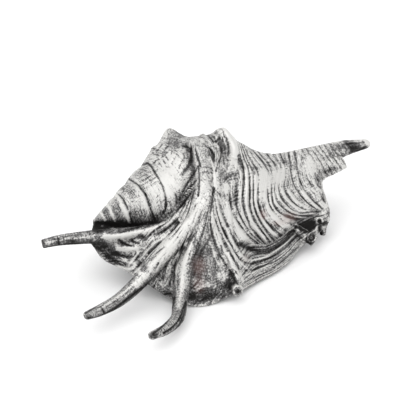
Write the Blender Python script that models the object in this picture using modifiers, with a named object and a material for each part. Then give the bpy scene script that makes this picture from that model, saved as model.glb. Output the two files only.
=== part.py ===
"""A spider conch seashell clad in silver, lying on its aperture side.

The shell grew as one piece, so it is one solid. Its forms overlap while they are modelled: a core round
the coiling axis, the flared lip as a sheet over it, and ridges that run out of the lip as spines. They
are then grown into one skin, cut flat where the shell touches the ground, and moved to the origin.

Sizes are in millimetres until METRE turns them into metres. +X runs from the spire to the canal, the
lip's edge is towards -Y and +Z is up. While it is modelled the apex of the spire is at x = 0, and the
coiling axis runs along +X at AXIS_HEIGHT. An angle round the axis is 0 on top and 90 at the lip's side.
"""

import math

import bmesh
import bpy
import numpy as np
from mathutils import Vector

METRE = 0.001
NAME = "silver_seashell"

# Driving dimensions of the coiled core.
AXIS_HEIGHT = 33.0
SPIRE_SLOPE = 0.60
WHORL_GROWTH = 1.50
LAST_SUTURE_X = 40.5
LAST_SUTURE_ANGLE = -33.0
SUTURE_DEPTH = 0.1
LAST_WHORL_RADIUS = 33.2
SPIRE_ENDS_X = 54.0
BODY_STARTS_X = 66.0
CANAL_TIP_X = 187.0
CANAL_GROOVE_DEPTH = 2.6
CANAL_GROOVE_ANGLE = 132.0
CANAL_GROOVE_HALF_WIDTH = 20.0

# Driving dimensions of the lip.
LIP_ROOT_THICKNESS = 5.5
LIP_EDGE_THICKNESS = 2.2

# How deep the shell is cut where it rests on the ground.
REST_DEPTH = 0.7

# How finely the skin is made.
VOXEL = 1.1
SMOOTH_STEPS = 6
TRIANGLES = 9000

# The silver's looks.
SILVER_COLOUR = (0.78, 0.77, 0.75, 1.0)
SILVER_ROUGHNESS = 0.3

# The body whorl: the place along the axis, then the radius on its top, back, underside and inside.
BODY_STATIONS = (
    (54, 32, 32, 31, 25),
    (62, 32.5, 34, 32, 26),
    (68, 32.5, 35, 32.6, 26),
    (76, 32, 34.5, 33.2, 26),
    (84, 31, 33, 33.2, 25),
    (92, 28.5, 31, 32, 23.5),
    (100, 23, 27, 29, 21),
    (108, 16.5, 21.5, 25, 18),
    (116, 11.5, 16.5, 20.5, 14.5),
    (124, 8.6, 12.5, 16, 11.5),
    (134, 7.4, 9.8, 12, 9),
    (146, 6.2, 8.2, 10, 7),
    (158, 5.2, 6.4, 8, 6),
    (170, 4.4, 4.8, 5.6, 4.8),
    (180, 3.4, 3.6, 3.8, 3.6),
    (185, 2.9, 3.0, 3.0, 3.0),
    (CANAL_TIP_X, 1.8, 1.8, 1.8, 1.8),
)

# The canal bends away from the coiling axis: the place along it, then how far along y and z.
CANAL_LINE = (
    (0, 0, 0),
    (112, 0, 0),
    (122, 0.3, 0.6),
    (134, 0.6, 2),
    (146, 1, 3),
    (158, 1.5, 3.6),
    (170, 2, 3.8),
    (180, 2, 3),
    (188, 2, 2.4),
)

# The knobs on the whorls' shoulders: x, angle, height, and their reach along x and round the axis.
KNOBS = (
    (61.8, -33, 7.4, 5.6, 13),
    (87.0, -3, 8.0, 5.0, 13),
    (85.5, 20, 5.0, 4.5, 14),
    (51.6, -33, 2.4, 3.0, 9),
    (62.5, -72, 5.5, 6.5, 14),
    (61.5, -110, 4.5, 6.0, 14),
    (61.0, -148, 3.0, 6.0, 14),
)

# The lip's outer surface, as ribs from the top of the body whorl to the lip's edge, from the spire's
# end to the canal. Each rib has the same number of points, so that a fold keeps its place between them.
LIP_RIBS = (
    (
        (65, 14, 62), (62, -1, 69.8), (60.3, -10, 69.3), (57, -18.4, 63.7), (52.5, -24, 55.5),
        (47.7, -26.4, 47.7), (41, -25.8, 38), (33, -21.2, 31.5), (18, -14, 29), (0, -10, 31),
    ),
    (
        (66, 12, 62), (64, -3, 69.5), (61.5, -14, 69), (58.5, -22.5, 63.5), (54, -28.5, 55),
        (48, -31, 46.5), (40, -30.5, 38), (30, -27, 32), (16, -20.5, 30), (1, -16.5, 31.5),
    ),
    (
        (67, 10, 62), (65, -5, 69), (62.5, -17, 68.3), (59.5, -26, 62.5), (55, -32.5, 53.5),
        (48.5, -35.5, 45.5), (39.5, -36, 37), (29, -33.5, 29), (14, -25, 21), (-1, -16.5, 17),
    ),
    (
        (68, 9, 62), (66, -7, 68), (63, -19, 67), (60, -28, 61), (55, -34.5, 51.5),
        (48.5, -38, 43.5), (39.5, -39.5, 35.5), (29, -37.5, 27), (17, -32.5, 19), (7, -25, 13.5),
    ),
    (
        (69, 8, 62), (67, -9, 67), (64.5, -21, 66), (61.5, -30.5, 59), (56, -37.5, 50),
        (48, -41, 42.5), (38, -42.5, 35), (27.5, -41.5, 26.5), (18.5, -39, 18.5), (11, -35.5, 12.5),
    ),
    (
        (70, 7, 62), (68, -10, 66), (65.5, -23, 65), (62.5, -32.5, 57.5), (56.5, -40, 48),
        (48.5, -44, 38), (40, -46.3, 28.5), (32, -47.5, 18.5), (25, -48.5, 10), (19.5, -46.5, 6),
    ),
    (
        (71, 6, 61.5), (69, -10, 65.5), (66.5, -24, 64.5), (63.5, -34, 56), (57.5, -41.5, 46),
        (50.5, -45.5, 36.5), (43, -48.5, 27), (36.5, -51.5, 17.2), (30.5, -55, 8.8), (26, -56.5, 4),
    ),
    (
        (73, 6, 61), (71, -9, 65), (68.5, -23, 63.5), (65.5, -33, 55), (60.5, -41, 44.5),
        (55, -46, 34), (49.5, -50.5, 23.5), (45, -55, 13.2), (41, -60, 5.6), (38, -63.4, 1.5),
    ),
    (
        (76, 6, 60.5), (74, -8, 64), (71.5, -20.5, 63), (69, -30.5, 56), (66.5, -38.7, 46),
        (64, -44.6, 36), (61.5, -50, 26), (59.8, -55.5, 16.2), (58.5, -61, 9), (57.5, -64.8, 5.2),
    ),
    (
        (79, 6, 60), (78, -8, 62.5), (76, -19, 61.5), (74, -29, 56), (72.5, -37, 47),
        (71, -42.5, 37), (70, -46.5, 27.5), (69.5, -50, 18), (70, -55, 9.4), (70.6, -60, 3.8),
    ),
    (
        (84, 6, 58), (84, -6, 61), (82, -18, 60), (81, -28, 55), (79.5, -36.5, 46.5),
        (78.5, -42, 37), (78, -45, 27.5), (77.8, -44, 18), (78, -49.5, 9.2), (78.2, -57.2, 3.2),
    ),
    (
        (92, 6, 53), (91, -4, 57), (90, -16, 57.5), (89, -27, 53.5), (88.5, -36, 46),
        (88, -43.5, 36.5), (88, -48, 26), (88, -45, 16.5), (88.5, -49, 8.8), (89, -54.2, 3),
    ),
    (
        (100, 6, 48), (100, -2, 51.5), (99.5, -12, 53.5), (99.5, -22, 50), (99.5, -31, 43.5),
        (100, -39, 35), (100.5, -44.5, 25.5), (100.5, -41.5, 16.5), (101, -44.5, 9.2), (101.5, -49.2, 4.2),
    ),
    (
        (109, 6, 41), (109, 0, 44), (109, -8, 46.5), (109.5, -16, 44.5), (110.5, -24, 39.5),
        (111.5, -31.5, 32.5), (112.5, -37, 24.5), (112.5, -35, 16.5),
        (112.5, -38.5, 11), (113.5, -42.3, 6.8),
    ),
    (
        (117, 5, 36), (117, 1, 38.5), (118, -5, 41.5), (119.5, -12, 40), (121, -19, 36.5),
        (123, -26, 31), (125, -32, 23.5), (125.5, -31.5, 17), (125, -35, 12), (125.5, -38.3, 9),
    ),
    (
        (126, 5, 34), (126, 2, 36.5), (128, -3, 39.5), (130, -9, 38.8), (132, -15, 36),
        (134.5, -21.5, 31), (137, -28, 24), (138, -31, 19), (138, -33, 15), (138, -33.5, 13),
    ),
    (
        (134, 5, 34), (134, 2, 37), (136, -2, 39.5), (137.5, -7, 38.8), (138.5, -11, 36.5),
        (139.5, -14.5, 33.8), (140.5, -17.5, 30.5), (140.8, -19.5, 27.8),
        (140.8, -20.5, 25.8), (140.5, -21, 24.5),
    ),
    (
        (144, 4, 34), (144, 2, 37.5), (145, -1, 39.5), (145.5, -4, 38.5), (146, -6.5, 37),
        (146, -8.5, 35), (146, -10.2, 33), (146, -11.5, 30.5), (146, -12.2, 28.5), (146, -12.5, 27),
    ),
    (
        (153, 4, 35), (153, 2, 38), (153.5, -1, 39.5), (154, -4, 38.5), (154.5, -6.5, 37),
        (154.5, -8.5, 35.4), (154.5, -10, 33.8), (154.5, -11, 32),
        (154.5, -11.8, 30.5), (154.5, -12.2, 29.5),
    ),
    (
        (158, 4, 36), (159, 2, 36.5), (160, -1, 37), (161, -4, 36.8), (162, -6.5, 36.4),
        (162.5, -8.5, 35.5), (162.5, -10, 34.8), (162.5, -11.2, 33.6),
        (162.5, -12, 32.5), (162.5, -12.4, 31.6),
    ),
)

# The ridges over the lip, most of which run out of it as spines: points along each, with its radius.
RIDGES = {
    "hind_spine": (
        (52, -28, 50, 2.2), (43, -28, 40.5, 3.2), (33, -25, 32.5, 4),
        (20, -19, 29.5, 4.4), (7, -16.5, 30.5, 4.4),
        (-6, -14.5, 32.6, 3.9), (-16, -13.3, 33.8, 3.5), (-25, -11.2, 34, 3.1), (-34, -9, 33, 2.6),
    ),
    "middle_spine": (
        (64, -20, 61, 3), (57, -32.5, 52, 4), (46, -38, 41.5, 4.6),
        (33, -41, 34, 4.8), (21, -42.5, 25, 4.8),
        (11, -44.5, 18.5, 4.6), (2, -47, 14.2, 4.3), (-9, -51, 12, 3.8),
        (-21.5, -56, 13, 3.2), (-32.5, -61, 16, 2.4),
    ),
    "front_spine": (
        (65, -23, 60, 3.2), (58, -36, 48, 4.2), (48, -43.5, 36, 4.7),
        (39, -47, 28, 4.8), (32.5, -50.5, 19.5, 4.8),
        (28, -56, 12.5, 4.6), (22.5, -64.5, 8.5, 4.3), (15.5, -75, 7.5, 3.8),
        (4, -84, 9.5, 3.1), (-8, -90.5, 13, 2.3),
    ),
    "short_spine": (
        (66, -37, 47, 2.2), (62, -49, 26, 2.8), (59, -59, 11.5, 3.2),
        (57, -66.5, 8.3, 3.1), (56.2, -69.5, 8, 2.6),
    ),
    "rim_stub": ((112, -36, 17, 2.5), (119, -39.5, 10.5, 3.2), (122, -42.5, 8, 3.4)),
    "corner_stub": ((134, -28, 22, 2.5), (135.5, -33, 15, 2.6), (135, -34.5, 9, 2.3), (134.5, -35, 5, 1.8)),
    "lip_start": (
        (69, 4, 65, 2.5), (65.5, -6, 67.3, 4.2), (62.8, -15, 65.8, 5.2), (59.8, -22.5, 61.8, 5.2),
        (56.6, -28, 56.3, 5), (53, -31, 51, 4.6), (47.5, -33, 44.5, 4), (41, -32, 37.5, 3.2),
    ),
    "lip_fold": (
        (74, 6, 66, 2.4), (72, -6, 66.5, 2.6), (70, -16, 63.5, 2.6), (67, -24, 59, 2.4), (64, -31, 53, 2),
    ),
}


def spline(points, count):
    """count points along a smooth curve through the points given, which it passes at even steps."""
    points = np.asarray(points, float)
    ends = np.vstack([2 * points[0] - points[1], points, 2 * points[-1] - points[-2]])
    at = np.linspace(0, len(points) - 1, count)
    span = np.minimum(at.astype(int), len(points) - 2)
    t = (at - span)[:, None]
    before, start, end, after = (ends[span + i] for i in range(4))
    return 0.5 * (
        2 * start
        + (end - before) * t
        + (2 * before - 5 * start + 4 * end - after) * t**2
        + (3 * start - before - 3 * end + after) * t**3
    )


def turned_by(angle, middle):
    """How far an angle is from the middle one, in degrees either way."""
    return (angle - middle + 180) % 360 - 180


def smooth_step(value, low, high):
    """0 below low, 1 above high, and an even rise between them."""
    t = np.clip((value - low) / (high - low), 0, 1)
    return t * t * (3 - 2 * t)


def whorl_place(x, angle):
    """How many whorls from the apex, with a suture at each whole number."""
    turns = turned_by(angle, LAST_SUTURE_ANGLE) / 360
    return 5 + np.log(x / LAST_SUTURE_X) / math.log(WHORL_GROWTH) - turns


def spire_radius(x, angle):
    """The stepped cone of the spire: each whorl swells between two sutures."""
    swell = np.sin(np.pi * (whorl_place(x, angle) % 1.0)) ** 0.7
    radius = SPIRE_SLOPE * x * (1 - SUTURE_DEPTH / 3 + SUTURE_DEPTH * swell)
    return -np.log(np.exp(-radius) + np.exp(-LAST_WHORL_RADIUS))


def body_radius(x, angle):
    """The body whorl's radius, mixed from its top, back, underside and inside."""
    table = np.array(BODY_STATIONS, float)
    top, back, under, inside = (np.interp(x, table[:, 0], table[:, i]) for i in range(1, 5))
    up, side = np.cos(np.radians(angle)), np.sin(np.radians(angle))
    whorl = (
        top * np.maximum(up, 0) ** 2
        + under * np.maximum(-up, 0) ** 2
        + inside * np.maximum(side, 0) ** 2
        + back * np.maximum(-side, 0) ** 2
    )
    along_canal = np.interp(x, (112, 124, 172, 182), (0, 1, 1, 0))
    from_groove = turned_by(angle, CANAL_GROOVE_ANGLE) / CANAL_GROOVE_HALF_WIDTH
    return whorl - CANAL_GROOVE_DEPTH * along_canal * np.exp(-(from_groove**2))


def knob_height(x, angle):
    """How far the knobs stand out of the whorls."""
    height = 0
    for knob_x, knob_angle, tall, reach_x, reach_angle in KNOBS:
        across = turned_by(angle, knob_angle) / reach_angle
        height = height + tall * np.exp(-(((x - knob_x) / reach_x) ** 2) - across**2)
    return height


def core_radius(x, angle):
    """The radius of the spire, the body whorl and the canal."""
    share = smooth_step(x, SPIRE_ENDS_X, BODY_STARTS_X)
    return (1 - share) * spire_radius(x, angle) + share * body_radius(x, angle) + knob_height(x, angle)


def linked(name, data):
    """A new object in the scene."""
    made = bpy.data.objects.new(name, data)
    bpy.context.scene.collection.objects.link(made)
    return made


def mesh_object(name, shape):
    """An object from a bmesh, with its faces turned out."""
    bmesh.ops.recalc_face_normals(shape, faces=shape.faces[:])
    mesh = bpy.data.meshes.new(name)
    shape.to_mesh(mesh)
    shape.free()
    return linked(name, mesh)


def skin(shape, grid, closed):
    """Quads through a grid of points. closed joins its last column to its first."""
    points = [[shape.verts.new(point * METRE) for point in row] for row in grid]
    columns = len(points[0])
    for row, below in zip(points, points[1:]):
        for j in range(columns if closed else columns - 1):
            k = (j + 1) % columns
            shape.faces.new((row[j], below[j], below[k], row[k]))
    return points


def core():
    """The coiled core, lofted from rings round the coiling axis."""
    stations = np.concatenate([np.geomspace(0.6, 50, 110), np.linspace(50, CANAL_TIP_X, 140)[1:]])
    angles = np.linspace(0, 360, 96, endpoint=False)
    turn = np.radians(angles)
    line = np.array(CANAL_LINE, float)
    rings = []
    for x in stations:
        radius = core_radius(x, angles)
        aside, lift = (np.interp(x, line[:, 0], line[:, i]) for i in (1, 2))
        y = aside - radius * np.sin(turn)
        z = AXIS_HEIGHT + lift + radius * np.cos(turn)
        rings.append(np.stack([np.full_like(y, x), y, z], axis=1))
    shape = bmesh.new()
    points = skin(shape, rings, closed=True)
    shape.faces.new(points[0])
    shape.faces.new(points[-1])
    return mesh_object("core", shape)


def lip():
    """The flared lip: a sheet through its ribs that thins from its root to its edge."""
    along = np.array([spline(rib, 64) for rib in LIP_RIBS])
    outer = np.array([spline(along[:, i], 160) for i in range(along.shape[1])])
    across = np.cross(np.gradient(outer, axis=0), np.gradient(outer, axis=1))
    normal = across / np.linalg.norm(across, axis=2, keepdims=True)
    thickness = np.linspace(LIP_ROOT_THICKNESS, LIP_EDGE_THICKNESS, len(outer))[:, None, None]
    shape = bmesh.new()
    top = skin(shape, outer, closed=False)
    low = skin(shape, outer - normal * thickness, closed=False)
    border = [
        [row[0] for row in top] + top[-1][1:] + [row[-1] for row in top[-2::-1]] + top[0][-2:0:-1],
        [row[0] for row in low] + low[-1][1:] + [row[-1] for row in low[-2::-1]] + low[0][-2:0:-1],
    ]
    for i, start in enumerate(border[0]):
        shape.faces.new((start, border[0][i - 1], border[1][i - 1], border[1][i]))
    return mesh_object("lip", shape)


def ridge(name, points):
    """A tapering tube along a smooth route."""
    route = spline(points, 10 * len(points))
    curve = bpy.data.curves.new(name, "CURVE")
    curve.dimensions = "3D"
    curve.bevel_depth = METRE
    curve.bevel_resolution = 4
    curve.use_fill_caps = True
    line = curve.splines.new("POLY")
    line.points.add(len(route) - 1)
    for point, (x, y, z, radius) in zip(line.points, route):
        point.co = (x * METRE, y * METRE, z * METRE, 1)
        point.radius = radius
    return linked(name, curve)


def forms():
    """Every form that the shell is grown from."""
    return [core(), lip()] + [ridge(name, points) for name, points in RIDGES.items()]


def joined(name, parts):
    """One object with every part's evaluated mesh. The parts are removed."""
    bpy.context.view_layer.update()
    graph = bpy.context.evaluated_depsgraph_get()
    shape = bmesh.new()
    for part in parts:
        mesh = bpy.data.meshes.new_from_object(part.evaluated_get(graph))
        own = bmesh.new()
        own.from_mesh(mesh)
        bmesh.ops.remove_doubles(own, verts=own.verts[:], dist=0.01 * METRE)
        own.to_mesh(mesh)
        own.free()
        shape.from_mesh(mesh)
    for part in parts:
        bpy.data.objects.remove(part)
    mesh = bpy.data.meshes.new(name)
    shape.to_mesh(mesh)
    shape.free()
    return linked(name, mesh)


def grown_together(shell, voxel, triangles):
    """The overlapping forms made into one smooth skin of about the number of triangles given."""
    remesh = shell.modifiers.new("one_skin", "REMESH")
    remesh.mode = "VOXEL"
    remesh.voxel_size = voxel * METRE
    soften = shell.modifiers.new("soften", "SMOOTH")
    soften.factor = 0.5
    soften.iterations = SMOOTH_STEPS
    shell.modifiers.new("triangles", "TRIANGULATE")
    bpy.context.view_layer.update()
    fine = shell.evaluated_get(bpy.context.evaluated_depsgraph_get())
    fewer = shell.modifiers.new("fewer", "DECIMATE")
    fewer.ratio = min(1.0, triangles / len(fine.data.polygons))
    bpy.context.view_layer.update()
    coarse = shell.evaluated_get(bpy.context.evaluated_depsgraph_get())
    mesh = bpy.data.meshes.new_from_object(coarse)
    shell.modifiers.clear()
    shell.data = mesh
    return shell


def rested(shell):
    """The shell cut flat where it touches the ground, and moved to stand on z = 0 round the origin."""
    shape = bmesh.new()
    shape.from_mesh(shell.data)
    lowest = min(vertex.co.z for vertex in shape.verts)
    cut = bmesh.ops.bisect_plane(
        shape,
        geom=shape.verts[:] + shape.edges[:] + shape.faces[:],
        dist=1e-7,
        plane_co=(0, 0, lowest + REST_DEPTH * METRE),
        plane_no=(0, 0, 1),
        clear_inner=True,
    )
    edges = [item for item in cut["geom_cut"] if isinstance(item, bmesh.types.BMEdge)]
    bmesh.ops.edgeloop_fill(shape, edges=edges)
    bmesh.ops.dissolve_degenerate(shape, edges=shape.edges[:], dist=0.02 * METRE)
    low, high = (
        Vector([pick(vertex.co[i] for vertex in shape.verts) for i in range(3)]) for pick in (min, max)
    )
    middle = (low + high) / 2
    bmesh.ops.translate(shape, verts=shape.verts[:], vec=(-middle.x, -middle.y, -low.z))
    bmesh.ops.triangulate(shape, faces=shape.faces[:])
    shape.to_mesh(shell.data)
    shape.free()
    return shell


def silver():
    """Bright silver with a slight tarnish."""
    material = bpy.data.materials.new("silver")
    material.use_nodes = True
    shader = material.node_tree.nodes["Principled BSDF"]
    shader.inputs["Base Color"].default_value = SILVER_COLOUR
    shader.inputs["Metallic"].default_value = 1.0
    shader.inputs["Roughness"].default_value = SILVER_ROUGHNESS
    return material


def main():
    for old in list(bpy.data.objects):
        bpy.data.objects.remove(old)
    shell = rested(grown_together(joined(NAME, forms()), VOXEL, TRIANGLES))
    shell.data.materials.append(silver())
    shell.data.shade_smooth()
    parts = bpy.data.collections.new("Silver seashell")
    bpy.context.scene.collection.children.link(parts)
    bpy.context.scene.collection.objects.unlink(shell)
    parts.objects.link(shell)


if __name__ == "__main__":
    main()
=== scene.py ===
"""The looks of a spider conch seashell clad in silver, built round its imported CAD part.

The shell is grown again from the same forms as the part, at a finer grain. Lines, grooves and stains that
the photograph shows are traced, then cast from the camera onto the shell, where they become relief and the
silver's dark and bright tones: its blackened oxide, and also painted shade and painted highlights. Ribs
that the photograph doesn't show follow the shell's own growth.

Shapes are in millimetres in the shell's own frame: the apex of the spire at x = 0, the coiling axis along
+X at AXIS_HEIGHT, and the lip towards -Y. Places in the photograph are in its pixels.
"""

import math

import bmesh
import bpy
import numpy as np
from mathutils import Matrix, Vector
from mathutils.bvhtree import BVHTree


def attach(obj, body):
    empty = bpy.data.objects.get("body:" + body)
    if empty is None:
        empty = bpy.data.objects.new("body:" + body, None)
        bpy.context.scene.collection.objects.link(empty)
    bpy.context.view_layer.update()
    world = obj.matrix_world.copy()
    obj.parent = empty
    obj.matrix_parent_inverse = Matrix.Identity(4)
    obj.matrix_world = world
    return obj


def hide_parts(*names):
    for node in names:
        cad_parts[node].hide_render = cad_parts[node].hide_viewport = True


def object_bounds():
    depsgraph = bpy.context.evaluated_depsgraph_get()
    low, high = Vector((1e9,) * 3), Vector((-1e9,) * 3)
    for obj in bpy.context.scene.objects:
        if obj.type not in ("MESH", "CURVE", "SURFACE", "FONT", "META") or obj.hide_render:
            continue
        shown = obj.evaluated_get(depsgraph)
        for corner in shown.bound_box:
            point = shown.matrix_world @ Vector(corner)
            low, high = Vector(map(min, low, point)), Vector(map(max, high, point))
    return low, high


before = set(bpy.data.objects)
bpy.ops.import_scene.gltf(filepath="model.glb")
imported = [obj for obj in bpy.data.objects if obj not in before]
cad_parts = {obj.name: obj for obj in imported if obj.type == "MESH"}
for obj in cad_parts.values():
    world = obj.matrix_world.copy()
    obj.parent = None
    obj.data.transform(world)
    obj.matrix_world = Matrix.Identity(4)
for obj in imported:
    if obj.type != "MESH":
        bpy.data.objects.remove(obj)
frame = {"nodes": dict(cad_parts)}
cad_low, cad_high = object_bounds()

# The part's one node, and a millimetre in metres.
(NODE,) = frame["nodes"]
MILLIMETRE = 0.001

# The camera that took the photograph. Its place and aim are in the shell's frame.
PHOTO_WIDTH = 400
CAMERA_AZIMUTH = -28.0
CAMERA_ELEVATION = 30.0
CAMERA_DISTANCE = 950.0
CAMERA_AIM = (63.62, -10.68, 35.40)
FOCAL_PIXELS = 1659.0
SENSOR_WIDTH = 36.0
CLIP_START = 10

# How finely the visible skin is made, and how the border of the coarser part that isn't seen is softened.
VOXEL = 0.66
TRIANGLES = 196000
SMOOTH_STEPS = 2
SEEN_BLUR = 4
SEEN_SHARPNESS = 4
COARSER_FACTOR = 10

# How finely each form is drawn before they grow together, and how near points of one are welded.
SPIRE_RINGS = 110
BODY_RINGS = 140
RINGS_CHANGE_X = 50
RING_CORNERS = 96
LIP_ROWS = 64
LIP_COLUMNS = 160
RIDGE_STEPS = 10
RIDGE_ROUNDNESS = 4
WALL_STEPS = 40
WELD = 0.01

# Driving dimensions of the coiled core.
AXIS_HEIGHT = 33.0
SPIRE_SLOPE = 0.60
WHORL_GROWTH = 1.50
WHORL_FULLNESS = 0.7
APEX_X = 0.6
LAST_SUTURE = 5
LAST_SUTURE_X = 40.5
LAST_SUTURE_ANGLE = -33.0
SUTURE_DEPTH = 0.1
LAST_WHORL_RADIUS = 33.2
SPIRE_ENDS_X = 54.0
BODY_STARTS_X = 66.0
CANAL_TIP_X = 187.0
CANAL_GROOVE_DEPTH = 2.6
CANAL_GROOVE_ANGLE = 132.0
CANAL_GROOVE_HALF_WIDTH = 20.0
CANAL_GROOVE_XS = (112, 124, 172, 182)

# Driving dimensions of the lip.
LIP_ROOT_THICKNESS = 5.5
LIP_EDGE_THICKNESS = 2.2

# The body whorl: the place along the axis, then the radius on its top, back, underside and inside.
BODY_STATIONS = (
    (54, 32, 32, 31, 25),
    (62, 32.5, 34, 32, 26),
    (68, 32.5, 35, 32.6, 26),
    (76, 32, 34.5, 33.2, 26),
    (84, 31, 33, 33.2, 25),
    (92, 28.5, 31, 32, 23.5),
    (100, 23, 27, 29, 21),
    (108, 16.5, 21.5, 25, 18),
    (116, 11.5, 16.5, 20.5, 14.5),
    (124, 8.6, 12.5, 16, 11.5),
    (134, 7.4, 9.8, 12, 9),
    (146, 6.2, 8.2, 10, 7),
    (158, 5.2, 6.4, 8, 6),
    (170, 4.4, 4.8, 5.6, 4.8),
    (180, 3.4, 3.6, 3.8, 3.6),
    (185, 2.9, 3.0, 3.0, 3.0),
    (CANAL_TIP_X, 1.8, 1.8, 1.8, 1.8),
)

# The canal bends away from the coiling axis: the place along it, then how far along y and z.
CANAL_LINE = (
    (0, 0, 0),
    (112, 0, 0),
    (122, 0.3, 0.6),
    (134, 0.6, 2),
    (146, 1, 3),
    (158, 1.5, 3.6),
    (170, 2, 3.8),
    (180, 2, 3),
    (188, 2, 2.4),
)

# The knobs on the whorls' shoulders: x, angle, height, and their reach along x and round the axis.
KNOBS = (
    (60.4, -33, 8.2, 5.9, 12.5),
    (85.4, -3, 7.2, 6.0, 13),
    (85.5, 20, 5.0, 4.5, 14),
    (47.8, -33, 2.3, 2.4, 9),
    (62.5, -72, 5.5, 6.5, 14),
    (61.5, -110, 4.5, 6.0, 14),
    (61.0, -148, 3.0, 6.0, 14),
)

# The lip's outer surface, as ribs from the top of the body whorl to the lip's edge, from the spire's
# end to the canal. Each rib has the same number of points, so that a fold keeps its place between them.
LIP_RIBS = (
    ((65, 14, 62), (62, -1, 69.8), (60.3, -10, 69.3), (57, -18.4, 63.7), (52.5, -24, 55.5),
     (47.7, -26.4, 47.7), (41, -25.8, 38), (33, -21.2, 31.5), (16, -15, 30), (-10, -12.5, 32.5)),
    ((66, 12, 62), (64, -3, 69.5), (61.5, -14, 69), (58.5, -22.5, 63.5), (54, -28.5, 55),
     (48, -31, 46.5), (40, -30.5, 38), (30, -27, 32), (14, -20.5, 30), (-8, -15.7, 30)),
    ((67, 10, 62), (65, -5, 69), (62.5, -17, 68.3), (59.5, -26, 62.5), (55, -32.5, 53.5),
     (48.5, -35.5, 45.5), (39.5, -36, 37), (29, -33.5, 29), (14, -25, 21), (-1, -16.5, 17)),
    ((68, 9, 62), (66, -7, 68), (63, -19, 67), (60, -28, 61), (55, -34.5, 51.5), (48.5, -38, 43.5),
     (39.5, -39.5, 35.5), (29, -37.5, 27), (17, -32.5, 19), (7, -25, 13.5)),
    ((69, 8, 62), (67, -9, 67), (64.5, -21, 66), (61.5, -30.5, 59), (56, -37.5, 50), (48, -41, 42.5),
     (38, -42.5, 35), (27.5, -41.5, 26.5), (18.5, -39, 18.5), (11, -35.5, 12.5)),
    ((70, 7, 62), (68, -10, 66), (65.5, -23, 65), (62.5, -32.5, 57.5), (56.5, -40, 48), (48.5, -44, 38),
     (40, -46.3, 28.5), (32, -47.5, 18.5), (25, -48.5, 10), (19.5, -46.5, 6)),
    ((71, 6, 61.5), (69, -10, 65.5), (66.5, -24, 64.5), (63.5, -34, 56), (57.5, -41.5, 46),
     (50.5, -45.5, 36.5), (43, -48.5, 27), (36.5, -51.5, 17.2), (30.5, -55, 8.8), (26, -56.5, 4)),
    ((73, 6, 61), (71, -9, 65), (68.5, -23, 63.5), (65.5, -33, 55), (60.5, -41, 44.5), (55, -46, 34),
     (49.5, -50.5, 23.5), (45, -55, 13.2), (41, -60, 5.6), (38, -63.4, 1.5)),
    ((76, 6, 60.5), (74, -8, 64), (71.5, -20.5, 63), (69, -30.5, 56), (66.5, -38.7, 46), (64, -44.6, 36),
     (61.5, -50, 26), (59.8, -55.5, 16.2), (58.5, -61, 9), (57.5, -64.8, 5.2)),
    ((79, 6, 60), (78, -8, 62.5), (76, -19, 61.5), (74, -29, 56), (72.5, -37, 47), (71, -42.5, 37),
     (70, -46.5, 27.5), (69.5, -50, 18), (70, -55, 9.4), (70.6, -60, 3.8)),
    ((84, 6, 58), (84, -6, 61), (82, -18, 60), (81, -28, 55), (79.5, -36.5, 46.5), (78.5, -42, 37),
     (78, -45, 27.5), (77.8, -44, 18), (78, -49.5, 9.2), (78.2, -57.2, 3.2)),
    ((92, 6, 53), (91, -4, 57), (90, -16, 57.5), (89, -27, 53.5), (88.5, -36, 46), (88, -43.5, 36.5),
     (88, -48, 26), (88, -45, 16.5), (88.5, -49, 8.8), (89, -54.2, 3)),
    ((100, 6, 48), (100, -2, 51.5), (99.5, -12, 53.5), (99.5, -22, 50), (99.5, -31, 43.5),
     (100, -39, 35), (100.5, -44.5, 25.5), (100.5, -41.5, 16.5), (101, -44.5, 9.2), (101.5, -49.2, 4.2)),
    ((109, 6, 41), (109, 0, 44), (109, -8, 46.5), (109.5, -16, 44.5), (110.5, -24, 39.5),
     (111.5, -31.5, 32.5), (112.5, -37, 24.5), (112.5, -35, 16.5), (112.5, -38.5, 11),
     (113.5, -42.3, 6.8)),
    ((117, 5, 36), (117, 1, 38.5), (118, -5, 41.5), (119.5, -12, 40), (121, -19, 36.5), (123, -26, 31),
     (125, -32, 23.5), (125.5, -31.5, 17), (125, -35, 12), (125.5, -38.3, 9)),
    ((126, 5, 34), (126, 2, 36.5), (128, -3, 39.5), (130, -9, 38.8), (132, -15, 36), (134.5, -21.5, 31),
     (137, -28, 24), (138, -31, 19), (138, -33, 15), (138, -33.5, 13)),
    ((134, 5, 34), (134, 2, 37), (136, -2, 39.5), (137.5, -7, 38.8), (138.5, -11, 36.5),
     (139.5, -14.5, 33.8), (140.5, -17.5, 30.5), (140.8, -19.5, 27.8), (140.8, -20.5, 25.8),
     (140.5, -21, 24.5)),
    ((144, 4, 34), (144, 2, 37.5), (145, -1, 39.5), (145.5, -4, 38.5), (146, -6.5, 37), (146, -8.5, 35),
     (146, -10.2, 33), (146, -11.5, 30.5), (146, -12.2, 28.5), (146, -12.5, 27)),
    ((153, 4, 35), (153, 2, 38), (153.5, -1, 39.5), (154, -4, 38.5), (154.5, -6.5, 37),
     (154.5, -8.5, 35.4), (154.5, -10, 33.8), (154.5, -11, 32), (154.5, -11.8, 30.5),
     (154.5, -12.2, 29.5)),
    ((158, 4, 36), (159, 2, 36.5), (160, -1, 37), (161, -4, 36.8), (162, -6.5, 36.4),
     (162.5, -8.5, 35.5), (162.5, -10, 34.8), (162.5, -11.2, 33.6), (162.5, -12, 32.5),
     (162.5, -12.4, 31.6)),
)

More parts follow.
